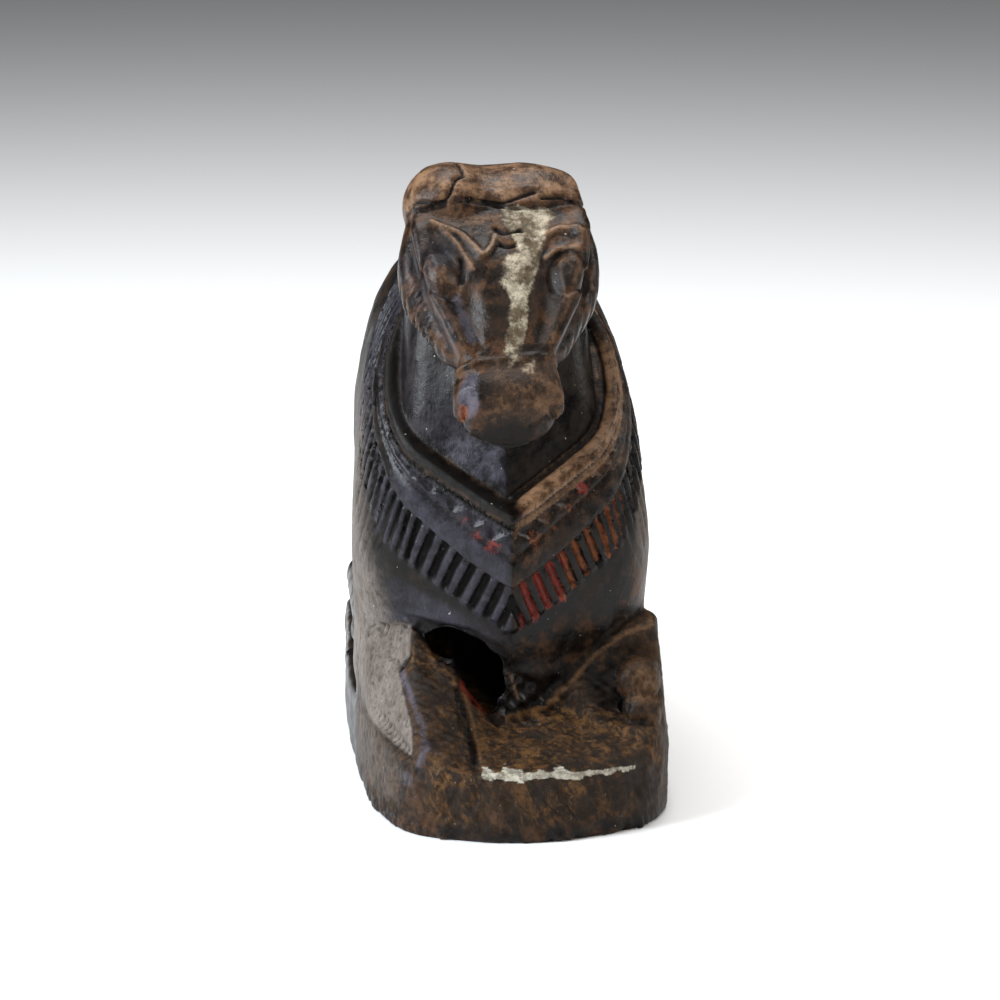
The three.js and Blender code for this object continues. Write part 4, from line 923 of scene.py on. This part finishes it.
# The brown of worn polish, also used for the painted highlight on the collar's right side.
polish_and_highlight_brown = blend(levels(medium, 0.4, 0.64), (0.042, 0.02, 0.01, 1), (0.2, 0.112, 0.06, 1))
whitened = blend(levels(medium, 0.38, 0.62), (0.085, 0.06, 0.033, 1), (0.44, 0.385, 0.285, 1))
# The colour of the painted blue-grey sheen.
sheen_blue_grey = blend(levels(medium, 0.3, 0.7), (0.009, 0.0085, 0.0115, 1), (0.034, 0.032, 0.045, 1))
# The pale colour of worn ridges and of the painted highlights.
pale_edge = blend(mask_of("ochre"), (0.23, 0.135, 0.078, 1), (0.2, 0.095, 0.032, 1))
strip_white = blend(levels(crust, 0.4, 0.6), (0.2, 0.18, 0.14, 1), (0.46, 0.43, 0.35, 1))

# Coats from the wood outwards: the mask, the noise that tears its edge, how soft and how torn that edge is,
# how much the coat covers, and its colour.
# Painted light among the coats: blue sheen, blue highlight, and part of the wear, rubbed, ridge and lime
# coats.
COATS = [
    ("brown", medium, 0.3, 0.5, 1.0, warm),
    ("painted_blue_sheen", coarse, 0.35, 0.3, 0.8, sheen_blue_grey),
    ("ochre", coarse, 0.25, 0.45, 1.0, dust),
    ("painted_blue_highlight", medium, 0.35, 0.6, 0.75, (0.082, 0.08, 0.108, 1)),
    ("worn_and_lit_polish", flakes, 0.4, 0.4, 0.92, polish_and_highlight_brown),
    ("rubbed_and_rim_sheen", medium, 0.4, 0.3, 0.9, bare_and_sheen_grey),
    ("ridge_wear_and_highlight", flakes, 0.4, 0.5, 0.8, pale_edge),
    ("lime_and_highlight", flakes, 0.2, 0.8, 0.85, whitened),
    ("red", flakes, 0.2, 0.9, 0.85, (0.175, 0.022, 0.014, 1)),
    ("orange", flakes, 0.2, 0.9, 0.8, (0.21, 0.062, 0.02, 1)),
]
colour = black
for name, noise, width, strength, cover, coat in COATS:
    colour = blend(reckon("MULTIPLY", broken(mask_of(name), noise, width, strength), cover), colour, coat)
colour = blend(levels(pores, 0.58, 0.72, 0, 0.6), colour, (0.005, 0.003, 0.002, 1))
colour = blend(levels(fine, 0.5, 0.72, 0, 0.55), colour, (0.006, 0.004, 0.003, 1))
# The grime and painted shade darken the colour.
grime_and_shade_amount = reckon("MULTIPLY", levels(mask_of("grime_and_painted_shade"), 0.15, 0.8), 0.95)
colour = blend(grime_and_shade_amount, colour, (0.0025, 0.0016, 0.0012, 1))
chalked = reckon("MULTIPLY", broken(mask_of("chalk"), crust, 0.2, 0.8), 0.9)
colour = blend(chalked, colour, strip_white)
colour = blend(levels(specks, 0.87, 0.89, 0, 0.6), colour, (0.4, 0.38, 0.33, 1))
links.new(colour, shader.inputs["Base Color"])

dull = reckon("MAXIMUM", reckon("MULTIPLY", mask_of("ochre"), 0.8), mask_of("lime_and_highlight"))
dull = reckon("MAXIMUM", dull, reckon("MAXIMUM", mask_of("chalk"), reckon("MULTIPLY", mask_of("grime_and_painted_shade"), 0.9)))
dull = reckon("MAXIMUM", dull, reckon("MULTIPLY", mask_of("rubbed_and_rim_sheen"), 0.7))
gloss = reckon("ADD", levels(medium, 0.3, 0.7, 0.24, 0.44), reckon("MULTIPLY", dull, 0.45), True)
links.new(gloss, shader.inputs["Roughness"])
shader.inputs["Specular IOR Level"].default_value = 0.17

bumps = reckon("ADD", reckon("MULTIPLY", grain, 0.12), reckon("MULTIPLY", fine, 0.14))
bumps = reckon("ADD", bumps, reckon("MULTIPLY", reckon("MULTIPLY", mask_of("ochre"), flakes), 1.6))
bumps = reckon("ADD", bumps, reckon("MULTIPLY", reckon("MULTIPLY", mask_of("brown"), medium), 0.8))
bump = nodes.new("ShaderNodeBump")
bump.inputs["Strength"].default_value = 0.6
bump.inputs["Distance"].default_value = 0.001
links.new(bumps, bump.inputs["Height"])
links.new(bump.outputs["Normal"], shader.inputs["Normal"])
bull.data.materials.clear()
bull.data.materials.append(wood)

# The ground: a plain pale sheet of board, matt.
bpy.ops.mesh.primitive_plane_add(size=8, location=(0, 0, 0))
ground = bpy.context.object
ground.name = "ground"
board = bpy.data.materials.new("pale_board")
board.use_nodes = True
board.node_tree.nodes["Principled BSDF"].inputs["Base Color"].default_value = (0.9, 0.9, 0.9, 1)
board.node_tree.nodes["Principled BSDF"].inputs["Roughness"].default_value = 0.8
ground.data.materials.append(board)


# The light: a strong soft box high on the left, weaker ones on the right, in front and above, and a pale room
# all round.
def soft_box(name, place, size, power, colour):
    light = bpy.data.lights.new(name, "AREA")
    light.shape, light.size, light.energy, light.color = "SQUARE", size, power, colour
    lamp = bpy.data.objects.new(name, light)
    lamp.location = place
    lamp.rotation_euler = (Vector((0, 0, 0.08)) - Vector(place)).to_track_quat("-Z", "Y").to_euler()
    bpy.context.scene.collection.objects.link(lamp)


soft_box("left_box", (-1.1, -0.4, 0.7), 0.7, 34, (0.88, 0.94, 1))
soft_box("right_box", (1.1, -0.1, 0.6), 0.5, 7, (1, 0.97, 0.92))
soft_box("front_box", (0.1, -1.3, 1.0), 0.5, 5, (1, 0.98, 0.95))
soft_box("top_box", (0, 0.2, 1.2), 0.7, 13, (1, 1, 1))
room = bpy.data.worlds.new("pale_room")
bpy.context.scene.world = room
room.use_nodes = True
room.node_tree.nodes["Background"].inputs["Color"].default_value = (1, 1, 1, 1)
room.node_tree.nodes["Background"].inputs["Strength"].default_value = 0.08
bpy.context.scene.view_settings.view_transform = "Standard"

# The camera: a metre off, a little to the left of the bull's front and looking down at it.
camera = bpy.data.objects.new("camera", bpy.data.cameras.new("camera"))
bpy.context.scene.collection.objects.link(camera)
bpy.context.scene.camera = camera
camera.location = (-0.08519, -1.04744, 0.30905)
aim = Vector((-0.00505, -0.07219, 0.08456))
camera.rotation_euler = (aim - camera.location).to_track_quat("-Z", "Y").to_euler()
camera.data.sensor_width = 36
camera.data.lens = 139.34
